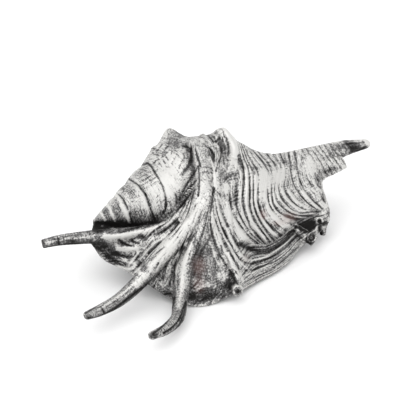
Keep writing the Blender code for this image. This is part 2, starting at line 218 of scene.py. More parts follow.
# The ridges over the lip, most of which run out of it as spines: points along each, with its radius.
RIDGES = {
    "hind_spine": (
        (52, -28, 50, 2.2), (43, -28, 40.5, 3.2), (33, -25, 32.5, 4), (20, -19, 29.5, 4.4),
        (7, -16.5, 30.5, 4.4), (-6, -14.5, 32.6, 3.9), (-16, -13.3, 33.8, 3.5), (-25, -11.2, 34, 3.1),
        (-34, -9, 33, 2.6),
    ),
    "middle_spine": (
        (64, -20, 61, 3), (57, -32.5, 52, 4), (46, -38, 41.5, 4.6), (33, -41, 34, 4.8),
        (21, -42.5, 25, 4.8), (11, -44.5, 18.5, 4.6), (2, -47, 14.2, 4.3), (-9, -51, 12, 3.8),
        (-21.5, -56, 13, 3.2), (-31.6, -60.8, 15.6, 2.4),
    ),
    "front_spine": (
        (65, -23, 60, 3.2), (58, -36, 48, 4.2), (48, -43.5, 36, 4.7), (39, -47, 28, 4.8),
        (32.5, -50.5, 19.5, 4.8), (28, -56, 12.5, 4.6), (22.5, -64.5, 8.5, 4.3), (15.5, -75, 7.5, 3.8),
        (4, -84, 9.5, 3.1), (-8, -90.5, 13, 2.3),
    ),
    "short_spine": (
        (66, -37, 47, 2.2), (62, -49, 26, 2.8), (59, -59, 11.5, 3.2), (57, -66.5, 8.3, 3.1),
        (56.2, -69.5, 8, 2.6),
    ),
    "rim_stub": ((112, -36, 17, 2.5), (119, -39.5, 10.5, 3.2), (122, -42.5, 8, 3.4)),
    "rim_knob": ((118, -33, 14, 2.2), (121, -36.5, 10, 2.8), (122.6, -38.2, 8.2, 3)),
    "corner_stub": (
        (132, -27, 22, 2.5), (133.5, -32, 15, 2.6), (133, -33.7, 9, 2.3), (132.8, -34.2, 5, 1.8),
    ),
    "lip_start": (
        (69, 4, 65, 2.5), (65.5, -6, 67.3, 4.2), (62.8, -15, 65.8, 5.2), (59.8, -22.5, 61.8, 5.2),
        (56.6, -28, 56.3, 5), (53, -31, 51, 4.6), (47.5, -33, 44.5, 4), (41, -32, 37.5, 3.2),
    ),
    "lip_fold": (
        (74, 6, 66, 2.4), (72, -6, 66.5, 2.6), (70, -16, 63.5, 2.6), (67, -24, 59, 2.4), (64, -31, 53, 2),
    ),
}

# A thin wall of the lip below the tip of the spire: its edge along the hind spine, and its inner edge.
SPIRE_WALL = (
    ((-5, -10, 31.5), (0, -12.5, 31), (10, -15, 30), (20, -17.5, 29.5), (33, -21, 30)),
    ((3, 3, 31), (7, 2, 29), (14, 1, 26), (24, -1, 22), (35, -6, 18)),
)
WALL_THICKNESS = 2.4


def spline(points, count):
    """count points along a smooth curve through the points given, which it passes at even steps."""
    points = np.asarray(points, float)
    ends = np.vstack([2 * points[0] - points[1], points, 2 * points[-1] - points[-2]])
    at = np.linspace(0, len(points) - 1, count)
    span = np.minimum(at.astype(int), len(points) - 2)
    t = (at - span)[:, None]
    before, start, end, after = (ends[span + i] for i in range(4))
    return 0.5 * (
        2 * start
        + (end - before) * t
        + (2 * before - 5 * start + 4 * end - after) * t**2
        + (3 * start - before - 3 * end + after) * t**3
    )


def turned_by(angle, middle):
    """How far an angle is from the middle one, in degrees either way."""
    return (angle - middle + 180) % 360 - 180


def smooth_step(value, low, high):
    """0 below low, 1 above high, and an even rise between them."""
    t = np.clip((value - low) / (high - low), 0, 1)
    return t * t * (3 - 2 * t)


def whorl_place(x, angle):
    """How many whorls from the apex, with a suture at each whole number."""
    turns = turned_by(angle, LAST_SUTURE_ANGLE) / 360
    return LAST_SUTURE + np.log(x / LAST_SUTURE_X) / math.log(WHORL_GROWTH) - turns


def spire_radius(x, angle):
    """The stepped cone of the spire: each whorl swells between two sutures."""
    swell = np.sin(np.pi * (whorl_place(x, angle) % 1.0)) ** WHORL_FULLNESS
    radius = SPIRE_SLOPE * x * (1 - SUTURE_DEPTH / 3 + SUTURE_DEPTH * swell)
    return -np.log(np.exp(-radius) + np.exp(-LAST_WHORL_RADIUS))


def body_radius(x, angle):
    """The body whorl's radius, mixed from its top, back, underside and inside."""
    table = np.array(BODY_STATIONS, float)
    top, back, under, inside = (np.interp(x, table[:, 0], table[:, i]) for i in range(1, 5))
    up, side = np.cos(np.radians(angle)), np.sin(np.radians(angle))
    whorl = (
        top * np.maximum(up, 0) ** 2
        + under * np.maximum(-up, 0) ** 2
        + inside * np.maximum(side, 0) ** 2
        + back * np.maximum(-side, 0) ** 2
    )
    along_canal = np.interp(x, CANAL_GROOVE_XS, (0, 1, 1, 0))
    from_groove = turned_by(angle, CANAL_GROOVE_ANGLE) / CANAL_GROOVE_HALF_WIDTH
    return whorl - CANAL_GROOVE_DEPTH * along_canal * np.exp(-(from_groove**2))


def knob_height(x, angle):
    """How far the knobs stand out of the whorls."""
    height = 0
    for knob_x, knob_angle, tall, reach_x, reach_angle in KNOBS:
        across = turned_by(angle, knob_angle) / reach_angle
        height = height + tall * np.exp(-(((x - knob_x) / reach_x) ** 2) - across**2)
    return height


def core_radius(x, angle):
    """The radius of the spire, the body whorl and the canal."""
    share = smooth_step(x, SPIRE_ENDS_X, BODY_STARTS_X)
    return (1 - share) * spire_radius(x, angle) + share * body_radius(x, angle) + knob_height(x, angle)


def linked(name, data):
    """A new object in the scene."""
    made = bpy.data.objects.new(name, data)
    bpy.context.scene.collection.objects.link(made)
    return made


def mesh_object(name, shape):
    """An object from a bmesh, with its faces turned out."""
    bmesh.ops.recalc_face_normals(shape, faces=shape.faces[:])
    mesh = bpy.data.meshes.new(name)
    shape.to_mesh(mesh)
    shape.free()
    return linked(name, mesh)


def skin(shape, grid, closed):
    """Quads through a grid of points. closed joins its last column to its first."""
    points = [[shape.verts.new(point * MILLIMETRE) for point in row] for row in grid]
    columns = len(points[0])
    for row, below in zip(points, points[1:]):
        for j in range(columns if closed else columns - 1):
            k = (j + 1) % columns
            shape.faces.new((row[j], below[j], below[k], row[k]))
    return points


def capped_tube(name, rings):
    """A closed tube through rings of points."""
    shape = bmesh.new()
    points = skin(shape, rings, closed=True)
    shape.faces.new(points[0])
    shape.faces.new(points[-1])
    return mesh_object(name, shape)


def core():
    """The coiled core, lofted from rings round the coiling axis."""
    on_spire = np.geomspace(APEX_X, RINGS_CHANGE_X, SPIRE_RINGS)
    on_body = np.linspace(RINGS_CHANGE_X, CANAL_TIP_X, BODY_RINGS)[1:]
    angles = np.linspace(0, 360, RING_CORNERS, endpoint=False)
    turn = np.radians(angles)
    line = np.array(CANAL_LINE, float)
    rings = []
    for x in np.concatenate([on_spire, on_body]):
        radius = core_radius(x, angles)
        aside, lift = (np.interp(x, line[:, 0], line[:, i]) for i in (1, 2))
        y = aside - radius * np.sin(turn)
        z = AXIS_HEIGHT + lift + radius * np.cos(turn)
        rings.append(np.stack([np.full_like(y, x), y, z], axis=1))
    return capped_tube("core", rings)


def lip_surface(columns):
    """The lip's outer surface as a grid of points: rows from root to edge, columns from hind to front."""
    along = np.array([spline(rib, LIP_ROWS) for rib in LIP_RIBS])
    return np.array([spline(along[:, i], columns) for i in range(LIP_ROWS)])


def border(grid):
    """The points round the edge of a grid, in order."""
    first, last = [row[0] for row in grid], [row[-1] for row in grid[-2::-1]]
    return first + grid[-1][1:] + last + grid[0][-2:0:-1]


def lip():
    """The flared lip: a sheet through its ribs that thins from its root to its edge."""
    outer = lip_surface(LIP_COLUMNS)
    across = np.cross(np.gradient(outer, axis=0), np.gradient(outer, axis=1))
    normal = across / np.linalg.norm(across, axis=2, keepdims=True)
    thickness = np.linspace(LIP_ROOT_THICKNESS, LIP_EDGE_THICKNESS, len(outer))[:, None, None]
    shape = bmesh.new()
    top = border(skin(shape, outer, closed=False))
    low = border(skin(shape, outer - normal * thickness, closed=False))
    for i, start in enumerate(top):
        shape.faces.new((start, top[i - 1], low[i - 1], low[i]))
    return mesh_object("lip", shape)


def ridge(name, points):
    """A tapering tube along a smooth route."""
    route = spline(points, RIDGE_STEPS * len(points))
    curve = bpy.data.curves.new(name, "CURVE")
    curve.dimensions = "3D"
    curve.bevel_depth = MILLIMETRE
    curve.bevel_resolution = RIDGE_ROUNDNESS
    curve.use_fill_caps = True
    line = curve.splines.new("POLY")
    line.points.add(len(route) - 1)
    for point, (x, y, z, radius) in zip(line.points, route):
        point.co = (x * MILLIMETRE, y * MILLIMETRE, z * MILLIMETRE, 1)
        point.radius = radius
    return linked(name, curve)


def spire_wall():
    """The thin wall of the lip below the tip of the spire."""
    outer, inner = (spline(line, WALL_STEPS) for line in SPIRE_WALL)
    half = np.array((0, 0, WALL_THICKNESS / 2))
    rings = [(a + half, b + half, b - half, a - half) for a, b in zip(outer, inner)]
    return capped_tube("spire_wall", rings)


def forms():
    """Every form that the shell is grown from."""
    return [core(), lip(), spire_wall()] + [ridge(name, points) for name, points in RIDGES.items()]


# What is traced in the photograph. A path is written as in a drawing: x,y x,y and so on, in pixels.
# The grooves of the growth lines, hind to front: which rib, strength, path from the crest outwards.
GROOVES = (
    (5, 0.8, "172,215 168,221 162,225 156,229 151,233 146,239 140,247"),
    (6, 0.9, "180,214 176,221 170,226 164,231 158,236 153,240 148,245 142,252"),
    (7, 0.9, "184,212 178,224 172,231 166,237 160,243 154,248 149,253 144,259"),
    (8, 0.9, "190,206 188,213 184,221 178,230 171,238 165,245 159,251 153,257 146,265"),
    (11, 0.7, "194,218 190,228 186,238 182,247 178,256 175,265 174,276 173,290"),
    (12, 0.5, "197,222 193,231 189,241 185,251 181,261 178,272 177,286 174,298"),
    (13, 0.9, "211,190 210,205 207,218 205,228 202,238 198,246 195,255 191,266 189,280 187,298"),
    (16, 1.0, "212,208 210,216 210,226 212,236 215,244 218,251 221,258 226,266 232,276"),
    (17, 1.0, "213,207 214,215 217,224 220,233 224,241 228,249 232,256 236,263 241,271"),
    (18, 0.9, "216,206 218,216 220,223 223,230 227,238 231,245 235,252 239,258 244,264 250,269"),
    (19, 0.6, "220,205 222,212 225,219 228,226 231,233 235,240 239,247 244,253 250,258"),
    (21, 0.9, "230,196 231,206 234,215 239,223 244,230 249,236 255,241"),
    (22, 0.7, "236,192 236,204 239,213 243,221 247,228 252,235 258,240"),
    (23, 1.0, "240,153 241,158 243,164 244,172 244,186 243,200 244,209 246,217 249,225 254,232 259,238"),
    (24, 1.0, "242,152 244,158 247,164 249,170 250,180 250,192 250,205 252,213 255,220 259,227 264,234"),
    (25, 0.8, "245,154 248,162 251,168 253,175 253,190 253,202 255,211 258,218 262,225 267,232 271,237"),
    (26, 0.9,
     "249,156 252,162 255,167 258,173 259,180 258,190 258,200 260,209 263,216 268,223 275,231 281,236"),
    (28, 1.0, "256,154 262,161 267,168 269,176 268,186 268,196 270,205 273,211 277,216 283,221 290,224"),
    (29, 1.0, "261,155 266,161 270,167 272,174 272,184 272,196 273,203 277,210 283,214 290,217 298,219"),
    (30, 1.0, "268,155 273,161 277,168 277,176 275,186 275,195 278,202 283,208 289,212 296,215 304,216"),
    (31, 0.9, "276,158 281,166 281,176 279,186 280,194 283,201 288,206 294,211 301,213 309,212"),
    (32, 0.8, "283,160 286,168 286,176 284,184 286,192 291,199 297,205 304,209 312,210"),
    (34, 1.0, "289,160 290,169 292,178 295,186 300,194 306,201 312,207 319,211"),
    (35, 0.8, "297,165 299,175 302,184 307,192 312,199 318,205 325,212"),
    (36, 0.7, "305,168 307,177 311,184 316,191 321,197 326,204"),
    (38, 0.35, "303,152 306,158 310,164 313,170"),
    (39, 0.35, "307,150 311,156 316,163 319,170"),
    (40, 0.4, "311,148 316,155 321,163 325,171"),
    (41, 0.4, "315,147 321,155 327,164 331,172"),
    (42, 0.4, "320,147 325,154 331,162 336,170"),
    (43, 0.4, "325,146 330,153 336,161 341,168"),
    (44, 0.4, "330,145 335,151 341,158 346,165"),
    (45, 0.4, "335,144 340,149 346,156 350,161"),
)

# Where the growth lines fade: middle, half width, half height, lean in degrees, how much.
PLAIN_PLACES = (
    (264, 180, 8, 11, 0, 0.85), (279, 176, 9, 12, -10, 0.85), (293, 165, 9, 8, 0, 0.6),
    (309, 168, 10, 10, 0, 0.8), (225, 187, 9, 6, 0, 0.8), (229, 172, 10, 10, 0, 0.5),
    (222, 196, 5, 8, 0, 0.5), (206, 150, 9, 16, -15, 0.7), (207, 178, 9, 20, 0, 0.9),
    (204, 200, 8, 14, 20, 0.8), (190, 224, 7, 16, 35, 0.8), (170, 247, 6, 18, 38, 0.8),
    (150, 272, 6, 14, 38, 0.8), (185, 276, 5, 30, 5, 0.7), (208, 262, 15, 32, 0, 0.95),
    (231, 216, 5, 12, -25, 0.6), (242, 234, 8, 5, 35, 0.7), (274, 216, 8, 5, 30, 0.6),
    (232, 145, 6, 14, 0, 0.9), (174, 140, 13, 12, 0, 0.9), (112, 210, 16, 14, 0, 0.8),
    (128, 195, 8, 12, 0, 0.5), (170, 178, 14, 22, 0, 0.4), (124, 236, 26, 3, 5, 0.8),
    (138, 248, 10, 5, 10, 0.8), (138, 243, 16, 7, 0, 0.6), (115, 240, 14, 8, 0, 0.7),
)

# The lower edge of the body whorl's overhang, where the growth lines stop.
OVERHANG = "236,240 243,243 252,245 264,246 275,243 284,237 290,230 296,223 305,220 318,216"

# Other dark lines: half width, strength, path.
DARK_LINES = (
    # The sutures of the spire.
    (1.1, 1.0,
     "141,165 144,164 147,163 150,165 153,169 156,174 160,181 163,188 165,195 166,203 165,210 163,213"),
    (1.0, 0.9, "129,179 134,182 138,185 143,191 146,196 149,204 151,210 153,216 155,220"),
    (0.8, 0.6, "116,193 119,195 122,198 125,203 128,209"),
    (0.9, 0.9, "130,213 131,218 133,226"),
    # Spiral threads of the last whorl of the spire.
    (0.8, 0.35, "151,171 144,175 137,179"),
    (0.8, 0.4, "154,174 147,178 140,182"),
    (0.8, 0.4, "156,177 149,181 142,185"),
    (0.8, 0.3, "158,181 151,185 145,188"),
    # Marks on the body whorl behind the lip.
    (0.8, 0.7, "154,163 156,160 159,159"),
    (0.8, 0.6, "161,158 163,156"),
    (0.8, 0.7, "163,160 165,163"),
    (0.9, 0.7, "166,167 169,167"),
    (0.8, 0.6, "157,151 160,147 162,144"),
    (0.8, 0.6, "164,150 168,146"),
    (0.8, 0.6, "159,163 161,166"),
    (0.8, 0.6, "166,157 168,160"),
    (0.8, 0.6, "171,154 172,151"),
    (0.8, 0.5, "174,176 175,180"),
    (0.8, 0.5, "168,173 169,176"),
    (0.9, 0.6, "171,165 173,160 175,157"),
    (0.9, 0.5, "177,154 179,157"),
    (0.9, 0.5, "179,168 181,163 184,158 184,153"),
    (0.9, 0.6, "179,190 180,196 180,200"),
    (0.9, 0.5, "176,194 177,200 176,206"),
    (1.0, 0.9, "183,146 187,147 190,149"),
    (2.0, 0.7, "190,149 192,154 191,160 188,166 184,171 182,174"),
    (1.2, 0.9, "195,150 197,156 199,162 200,166"),
    (1.0, 0.6, "197,167 194,173 190,179 187,184 184,189 181,195"),
    (1.0, 0.5, "198,178 194,183 190,187 186,191 182,197"),
    (1.0, 0.5, "195,190 191,194 187,198 183,204 177,211"),
    (0.9, 0.7, "198,166 199,176 199,186 198,196"),
    # Painted shade in the valley beside the ridge where the lip starts.
    (1.4, 0.8, "214,188 213,195 212,203 210,212"),
    (0.8, 0.35, "200,168 206,167 213,169"),
    (0.8, 0.3, "200,173 206,172 213,173"),
    (0.8, 0.3, "200,181 206,180 212,182"),
    # Painted shade on the shaded side of the front knob and in the hollow before it.
    (1.2, 0.9, "204,143 208,147 212,151 214,156 214,161"),
    (1.8, 0.6, "210,151 211,156 213,160"),
    (1.1, 0.7, "219,160 217,165 216,171"),
    (1.4, 0.8, "213,142 216,141 219,138"),
    (2.4, 0.35, "221,141 224,146 225,152 225,159"),
    (0.9, 0.6, "218,143 221,149 221,156 219,162"),
    (1.2, 0.6, "226,138 228,146 228,155"),
    # The canal.
    (1.3, 0.8, "352,151 359,150 366,147"),
    (1.0, 0.6, "344,144 354,143 364,142"),
    # Painted shade under the overhang, in the black pocket beside the rim and on a small spine's shaded
    # side, and the rim's other dark lines.
    (2.2, 1.0, "240,244 248,248 258,251 268,250 277,246 285,240 291,233 297,227"),
    (4.0, 1.2, "302,228 307,227 312,223"),
    (0.9, 0.55, "239,258 247,263 256,263 267,259 278,252 288,244 296,236"),
    (0.8, 0.5, "245,270 257,269 269,263 281,255 291,247 299,239"),
    (0.8, 0.5, "243,283 253,278 264,273 276,266 288,256 299,246"),
    (1.0, 0.9, "305,233 309,230 314,228"),
    (0.8, 0.9, "308,234.5 306,238 307,241.5 310,243.5 314,242"),
    (0.8, 0.6, "310.5,234 309,237 310,240.3 312.5,240.5 314,238 313.5,235"),
    (1.0, 0.5, "322,197 325,202"),
    (1.6, 1.0, "319.5,227 320.3,231 321.3,235"),
    # The hind lip: painted shade on its steep face below the ridge, and dark lines along the ridge.
    (2.2, 0.4, "92,247 99,249 106,254 113,260 120,264 127,265"),
    (2.0, 0.3, "96,243 104,247 112,252 120,256 130,258"),
    (1.2, 0.9, "119,240 123,243 127,245 131,246"),
    (1.0, 0.6, "132,241 136,243 139,243"),
    # The spines: painted shade on their shaded lower sides, and the lines of folds along them.
    (1.5, 0.9, "43,249 56,247 68,245 80,244 90,247"),
    (1.3, 0.7, "58,239 59,245"),
    (1.2, 0.6, "42,240 44,244 43,249"),
    (1.6, 1.0, "88,321 98,318 110,312 120,305 130,297 142,288"),
    (1.3, 0.8, "86,313 96,305 108,296 120,286 132,278"),
    (1.2, 0.8, "101,307 105,314"),
    (1.2, 1.0, "186,302 183,310 180,318 173,327 164,333"),
    (1.3, 0.9, "174,298 171,310 167,320 160,328 153,333"),
    (1.4, 0.8, "186,304 184,314 180,324 174,332 164,338"),
)

# Bright lines, rubbed crests and some painted glints and highlights: half width, strength, path.
BRIGHT_LINES = (
    # White bands beside the sutures.
    (1.2, 1.0, "100,211 102,214 104,218 105,221"),
    (1.3, 1.1, "105,204 108,206 110,209 112,214 115,221"),
    (2.0, 1.2, "117,195 120,201 123,208 126,214 129,222"),
    (2.6, 0.7, "136,186 141,193 144,200 147,208"),
    (3.2, 0.6, "148,186 152,193 155,200 156,208"),
    # The ridges that run out as spines.
    (4.2, 0.75, "200,202 194,213 187,222 180,232 172,242 165,251 158,260 150,269 143,278 136,285"),
    (2.4, 0.7, "191,243 188,253 185,262 183,275 182,285 180,298 178,306"),
    (1.2, 0.6, "180,249 177,260 176,272"),
    (1.3, 0.7, "134,284 124,292 112,301 100,309"),
    (1.4, 0.6, "46,243 60,240 76,238 90,237"),
    (2.4, 1.0, "104,236.5 116,236.5 128,235 142,231 156,227"),
    (2.8, 1.0, "118,248 127,250 136,249"),
    (2.0, 1.2, "133,260 136,267 140,274"),
    (1.2, 1.2, "116,265.5 122,267.5 128,268.5 134,268.5"),
    (0.8, 0.9, "124,260.5 128,262 132,263.5"),
    # The ribs of the hind lip.
    (0.9, 0.8, "180,221 175,227 170,232 165,237 159,241 152,246 146,253 141,259"),
    (0.8, 0.7, "174,227 167,231 161,235 155,238 149,242"),
    (0.8, 0.7, "168,237 163,242 158,247 152,253 147,259"),
    # The ribs of the front web.
    (2.0, 1.1, "212,213 214,222 217,230 220,238 224,247 228,256 233,264 238,271 242,280"),
    (0.8, 0.7, "211,220 214,233 217,242 220,251 225,261 229,269"),
    (1.0, 0.9, "217,216 220,227 224,236 229,245 235,255 242,264 249,270"),
    (1.1, 1.0, "216,203 219,213 223,222 228,233 233,243 239,252 247,260"),
    (1.5, 0.8, "210,243 213,251 216,258 219,264"),
    (3.0, 1.1, "227,206 231,217 237,228 244,237 252,242"),
    # The ribs of the body whorl.
    (1.0, 0.8, "241,172 241,188 241,202 243,213 248,223 254,231"),
    (2.0, 1.0, "246,172 247,186 246,200 248,211 252,221 257,229 264,238"),
    (0.9, 0.8, "252,172 252,186 252,202 254,212 257,219"),
    (1.4, 1.0, "255,176 256,190 256,202 259,212 263,221 269,229 276,235"),
    (3.2, 1.1, "264,196 266,205 270,212 276,218 284,223 290,226"),
    (0.9, 0.8, "270,196 271,204 275,211 281,216"),
    (0.9, 0.9, "274,192 275,200 279,206 285,211"),
    (1.1, 1.0, "277,190 279,198 284,204 290,210 297,213"),
    (1.6, 1.0, "282,190 285,197 290,203 297,208 304,211"),
    (1.6, 0.9, "288,190 293,198 300,204 308,209"),
    (1.4, 0.9, "303,192 309,199 316,206 323,212 328,219"),
    (2.0, 0.9, "313,188 318,194 323,201 327,208"),
    (1.2, 0.9, "313,180 316,186 321,192"),
    # The ridge down from the front knob, and those beside it.
    (3.6, 1.1, "228,131 232,138 234,146 234,154 233,160"),
    (1.2, 0.9, "233,161 230,167 228,171"),
    (1.1, 0.8, "237,158 236,169"),
    (1.0, 1.0, "210,157 212,163 214,170 215,178 216,188"),
    (1.1, 0.9, "219,152 219,158 217,163 215,169"),
    (1.2, 1.0, "201,139 205,143 210,148"),
    (1.8, 0.9, "214,143 218,147"),
    # The rim: its bright edges, and painted glints and painted highlights on the rims of its small open
    # ends.
    (1.0, 1.2, "234,293 233,289 236,286 240,286 243,289"),
    (0.8, 0.8, "238,254 246,259 256,260 267,256 278,249 288,241 296,233"),
    (1.2, 0.9, "290,230 294,228 299,231"),
    (0.9, 0.8, "243,276 254,272 266,266 278,258 289,249 298,240"),
    (0.8, 1.2, "301,239.5 305,237 309,234.3 312,231.8 316,229 318,226"),
    (1.2, 0.8, "301,246 305,240"),
    (0.8, 0.9, "316,236 315,239.5 312,242"),
    (0.8, 1.4, "316.6,223 316.3,219.8 318.4,217.6 321,218.4 322.6,221.5"),
    (0.8, 0.4, "324.6,227 324,231 323,234.5"),
    (1.0, 1.0, "320,203 324,209 327,215 328.3,221"),
    (0.9, 1.4, "292,228.5 294,229 297,230.5"),
)

# Stains and painted shade, and rubbed places and painted highlights with a minus: middle, half width,
# half height, lean in degrees, strength.
STAINS_SHADE_AND_HIGHLIGHTS = (
    # Painted shade: the black pocket under the spire, and its lighter specks on the next line.
    (112, 227, 26, 7, 2, 1.4), (97, 227, 6, 6, 0, 1.4), (145, 226, 14, 4, 8, 0.9),
    (102, 226, 2.2, 1.4, 0, -1.8), (112, 228, 2.6, 1.4, 0, -1.8), (121, 226.5, 2.2, 1.2, 0, -1.6),
    (106, 213, 4, 7, -15, 0.9), (97, 217, 3, 4, -15, 0.5), (117, 207, 6, 11, -15, 0.85),
    (119, 218, 7, 6, 0, 0.4), (125, 188, 5, 6, 30, 0.6), (132, 193, 4, 7, -10, 0.5),
    (139, 215, 9, 7, 0, 0.7), (143, 171, 7, 4, 35, 0.4), (160, 204, 5, 7, 0, 0.5),
    (153, 217, 8, 4, 20, 0.6), (167, 214, 12, 5, 15, 0.6), (170, 203, 6, 4, 0, 0.3),
    (146, 194, 1.8, 1.8, 0, 1.0), (154, 151, 3.5, 4, 30, 0.45), (158, 154, 2, 2, 0, 0.5),
    (164, 154, 3, 3.2, 30, 0.9), (175, 138, 10, 10, -20, 0.62), (174, 146, 7, 4, 0, 0.5),
    (186, 190, 5, 10, 25, 0.3), (194, 196, 3, 5, 0, 0.5), (186, 200, 8, 7, 0, 0.35),
    (205, 157, 5, 9, -15, 0.3), (206, 172, 6, 3, 0, 0.2), (209, 137, 9, 3, -15, 0.35),
    (221, 150, 6, 11, -8, 0.2), (228, 174, 10, 8, 0, 0.65), (226, 181, 8, 3, 0, 0.2),
    (220, 195, 1.4, 2.6, 20, 0.9), (222, 188, 3, 4, 0, 0.3), (235, 200, 4, 12, 0, 0.45),
    # Painted shade in the open end of the stub on the lip's edge: the first spot on this line.
    (238, 291, 2.6, 2.4, 0, 1.8), (311, 237.5, 5, 6, 0, 0.35), (310, 233, 5, 2.4, -35, 0.6),
    (311, 236.5, 6, 5.5, 0, 0.4), (326, 217, 3, 4, 0, 0.5), (319, 213, 4.5, 4, 0, 0.35),
    (324, 231, 2.4, 5, 0, 0.25), (212, 246, 3, 10, -25, 0.6), (234, 240, 5, 6, -40, 0.4),
    (262, 208, 4, 10, -15, 0.7), (273, 227, 6, 3, -25, 0.7), (266, 232, 3, 3, -30, 0.6),
    # Painted shade in the black pocket beside the rim: the second spot on this line.
    (288, 216, 10, 4, -25, 0.55), (308, 226, 9, 6, 15, 1.4), (284, 162, 5, 3, -15, 0.5),
    (296, 163, 7, 6, -20, 0.3), (287, 187, 2, 7, 10, 0.3), (318, 180, 4, 9, 12, 0.7),
    (322, 198, 3, 6, -40, 0.45), (330, 170, 9, 3, 15, 0.7), (338, 147, 8, 4, 12, 0.3),
    # A painted highlight at the canal's tip: the last spot on this line.
    (360, 148, 9, 4, 12, 0.9), (352, 145, 10, 5, 12, 0.25), (368, 142, 2.4, 2.4, 0, -0.7),
    # Painted shade at the lip's front corner: in a pocket, on a small spine's shaded side and in an open
    # end.
    (325.5, 223.5, 4.6, 2.4, 0, 1.6), (320, 230, 2, 6, 0, 1.0), (319.6, 221.4, 1.6, 2.4, 0, 1.6),
    (328, 211.5, 2.4, 6, -15, 0.7), (292, 240, 10, 4, 40, 0.4), (268, 264, 32, 9, 32, 0.35),
    (270, 257, 22, 7, -20, 0.28), (198, 248, 5, 14, 15, 0.5), (197, 268, 7, 10, 0, 0.6),
    (220, 254, 3, 10, -25, 0.8), (206, 265, 16, 34, 5, 0.6), (66, 241, 26, 7, 5, 0.4),
    (56, 239, 18, 2.2, 6, 0.2), (345, 149, 22, 8, 12, 0.4), (206, 158, 9, 22, 0, 0.2),
    (205, 295, 20, 6, 8, 1.1), (227, 284, 9, 6, 0, 1.0), (222, 299, 17, 4, -12, 0.5),
    (192, 290, 4, 12, 0, 0.7), (234, 272, 4, 5, -40, 0.6), (162, 292, 14, 5, -28, 0.8),
    (146, 285, 3, 3, 0, 1.0), (174, 262, 7, 18, -8, -0.5), (161, 288, 7, 4.5, -20, -0.4),
    (141, 237.4, 5.6, 3.2, -18, 1.0), (143.5, 237.6, 3.4, 2.6, 0, 0.7), (139, 262, 4, 5, 0, 0.8),
    # Painted shade on the hind lip's steep face: this line, the next, and the first spot of the one after.
    (109, 251, 16, 6.5, -35, 0.75), (102, 241, 9, 3.2, -30, 0.7), (115, 252, 6, 4, -40, 0.6),
    (96, 248, 9, 4, -40, 0.6), (112, 261.5, 10, 4, -28, 0.9), (92, 243, 8, 4, -15, 0.5),
    (126, 256, 6, 3, -20, 0.8), (145, 268, 4, 5, 20, 0.8), (158, 264, 2, 1.4, 40, 0.8),
    (154, 268, 2, 1.6, 40, 0.8), (151, 274, 2, 1.4, 40, 0.5), (158, 227, 6, 2.4, 15, 0.5),
    # Painted shade in the open tips of two spines: the last spot on this line and the first on the next.
    (176, 229, 5, 4, 40, 0.4), (72, 241, 5, 2.4, 5, 0.5), (89, 317, 3, 2.6, 0, 1.2),
    (154, 336, 4, 2.4, 15, 1.2), (173, 164, 11, 11, 0, -0.5), (192, 153, 3, 9, 0, -0.6),
    (168, 182, 12, 20, -8, -0.8), (205, 190, 5, 7, 0, -0.4), (207, 222, 5, 18, 12, 0.35),
    (216, 180, 1.6, 8, 0, -0.4), (225, 188, 5, 4, 0, -0.8), (264, 180, 7, 10, 0, -1.1),
    (280, 176, 6, 9, -10, -1.0), (311, 167, 8, 8, 20, -0.7), (222, 276, 5, 4, 0, -0.6),
    (162, 283, 6, 4, -20, -0.4), (123, 234, 8, 2, 0, -0.5), (123, 245, 5, 2, -10, 0.5),
    (135, 242, 4, 1.4, -20, 0.6), (110, 236.5, 7, 1.6, -12, -0.6), (130, 249, 9, 2, 5, -0.6),
    (127, 235.5, 7, 2.2, 5, -0.6), (164, 133, 3, 8, 20, -0.4),
)

# Warm, pinkish tint: tarnish, and in the first two, in the concave web at the lip's lower edge, a painted
# pinkish reflection. Middle, half width, half height, lean in degrees, strength.
BLUSHES = (
    (199, 266, 7, 9, 0, 1.0),
    (199, 284, 6, 8, 0, 0.8),
    (263, 215, 4, 5, 0, 1.0),
    (289, 217, 8, 5, 0, 1.0),
    (279, 223, 8, 3, 0, 0.6),
    (246, 258, 4, 4, 0, 0.4),
)

# How marks are drawn: a path's points for each traced one, how many half widths a line reaches, and how
# sharp the edge of a spot is.
STEPS_PER_POINT = 4
LINE_REACH = 3
SPOT_EDGE = 1.5

# Traced grooves, in pixels: how far they run on past their ends, how far away they hold, and how well a
# place must be seen for it.
GROOVE_OVERRUN = 12
GROOVE_REACH = 25
TRACED_SEEN = 0.3

# The rim below the overhang, in pixels: how far above the overhang's edge it still counts, from which
# column of the photograph on, and how well it must be seen.
OVERHANG_STEPS = 40
RIM_GAP = 1.5
RIM_STARTS = 240
RIM_SEEN = 0.2

# What the camera sees: how squarely a face must be turned to it, and how far from the skin a ray starts,
# outwards and towards the camera.
SQUARE_ENOUGH = 0.2
RAY_LIFT = 0.8
RAY_START = 0.5

# The ribs between and beyond the traced grooves: their strength between two traced ones, where nothing
# is traced, and how much they fade along the canal and over the spire.
FAINT_RIB = 0.35
UNTRACED_RIB = 0.34
CANAL_FADE = 0.8
CANAL_FADE_XS = (136, 146)
SPIRE_FADE = 0.75

# The threads on each whorl of the spire and where they end, the threads that the lip would have from its
# root to its edge if they were those of the rim, the lip's depth, and how far out the core's skin reaches.
SPIRE_THREADS = 8
THREADS_END_X = 60
RIM_THREADS = 24
LIP_DEPTH = 80
NEAR_CORE = 3

# How the lip's ribs carry on over the body whorl: the place along the axis where each one starts, and
# how they bend round the back: by how much, in how many waves a turn, and from which angle.
RIB_ROOTS = (40, 44, 48, 52, 56, 60, 66, 73, 76, 79, 84, 92, 100, 109, 117, 126, 134, 144, 153, 160)
RIBS_PER_ROOT = 2.27
BACK_BEND = 3.5
BEND_WAVES = 2.2
BEND_START = 25

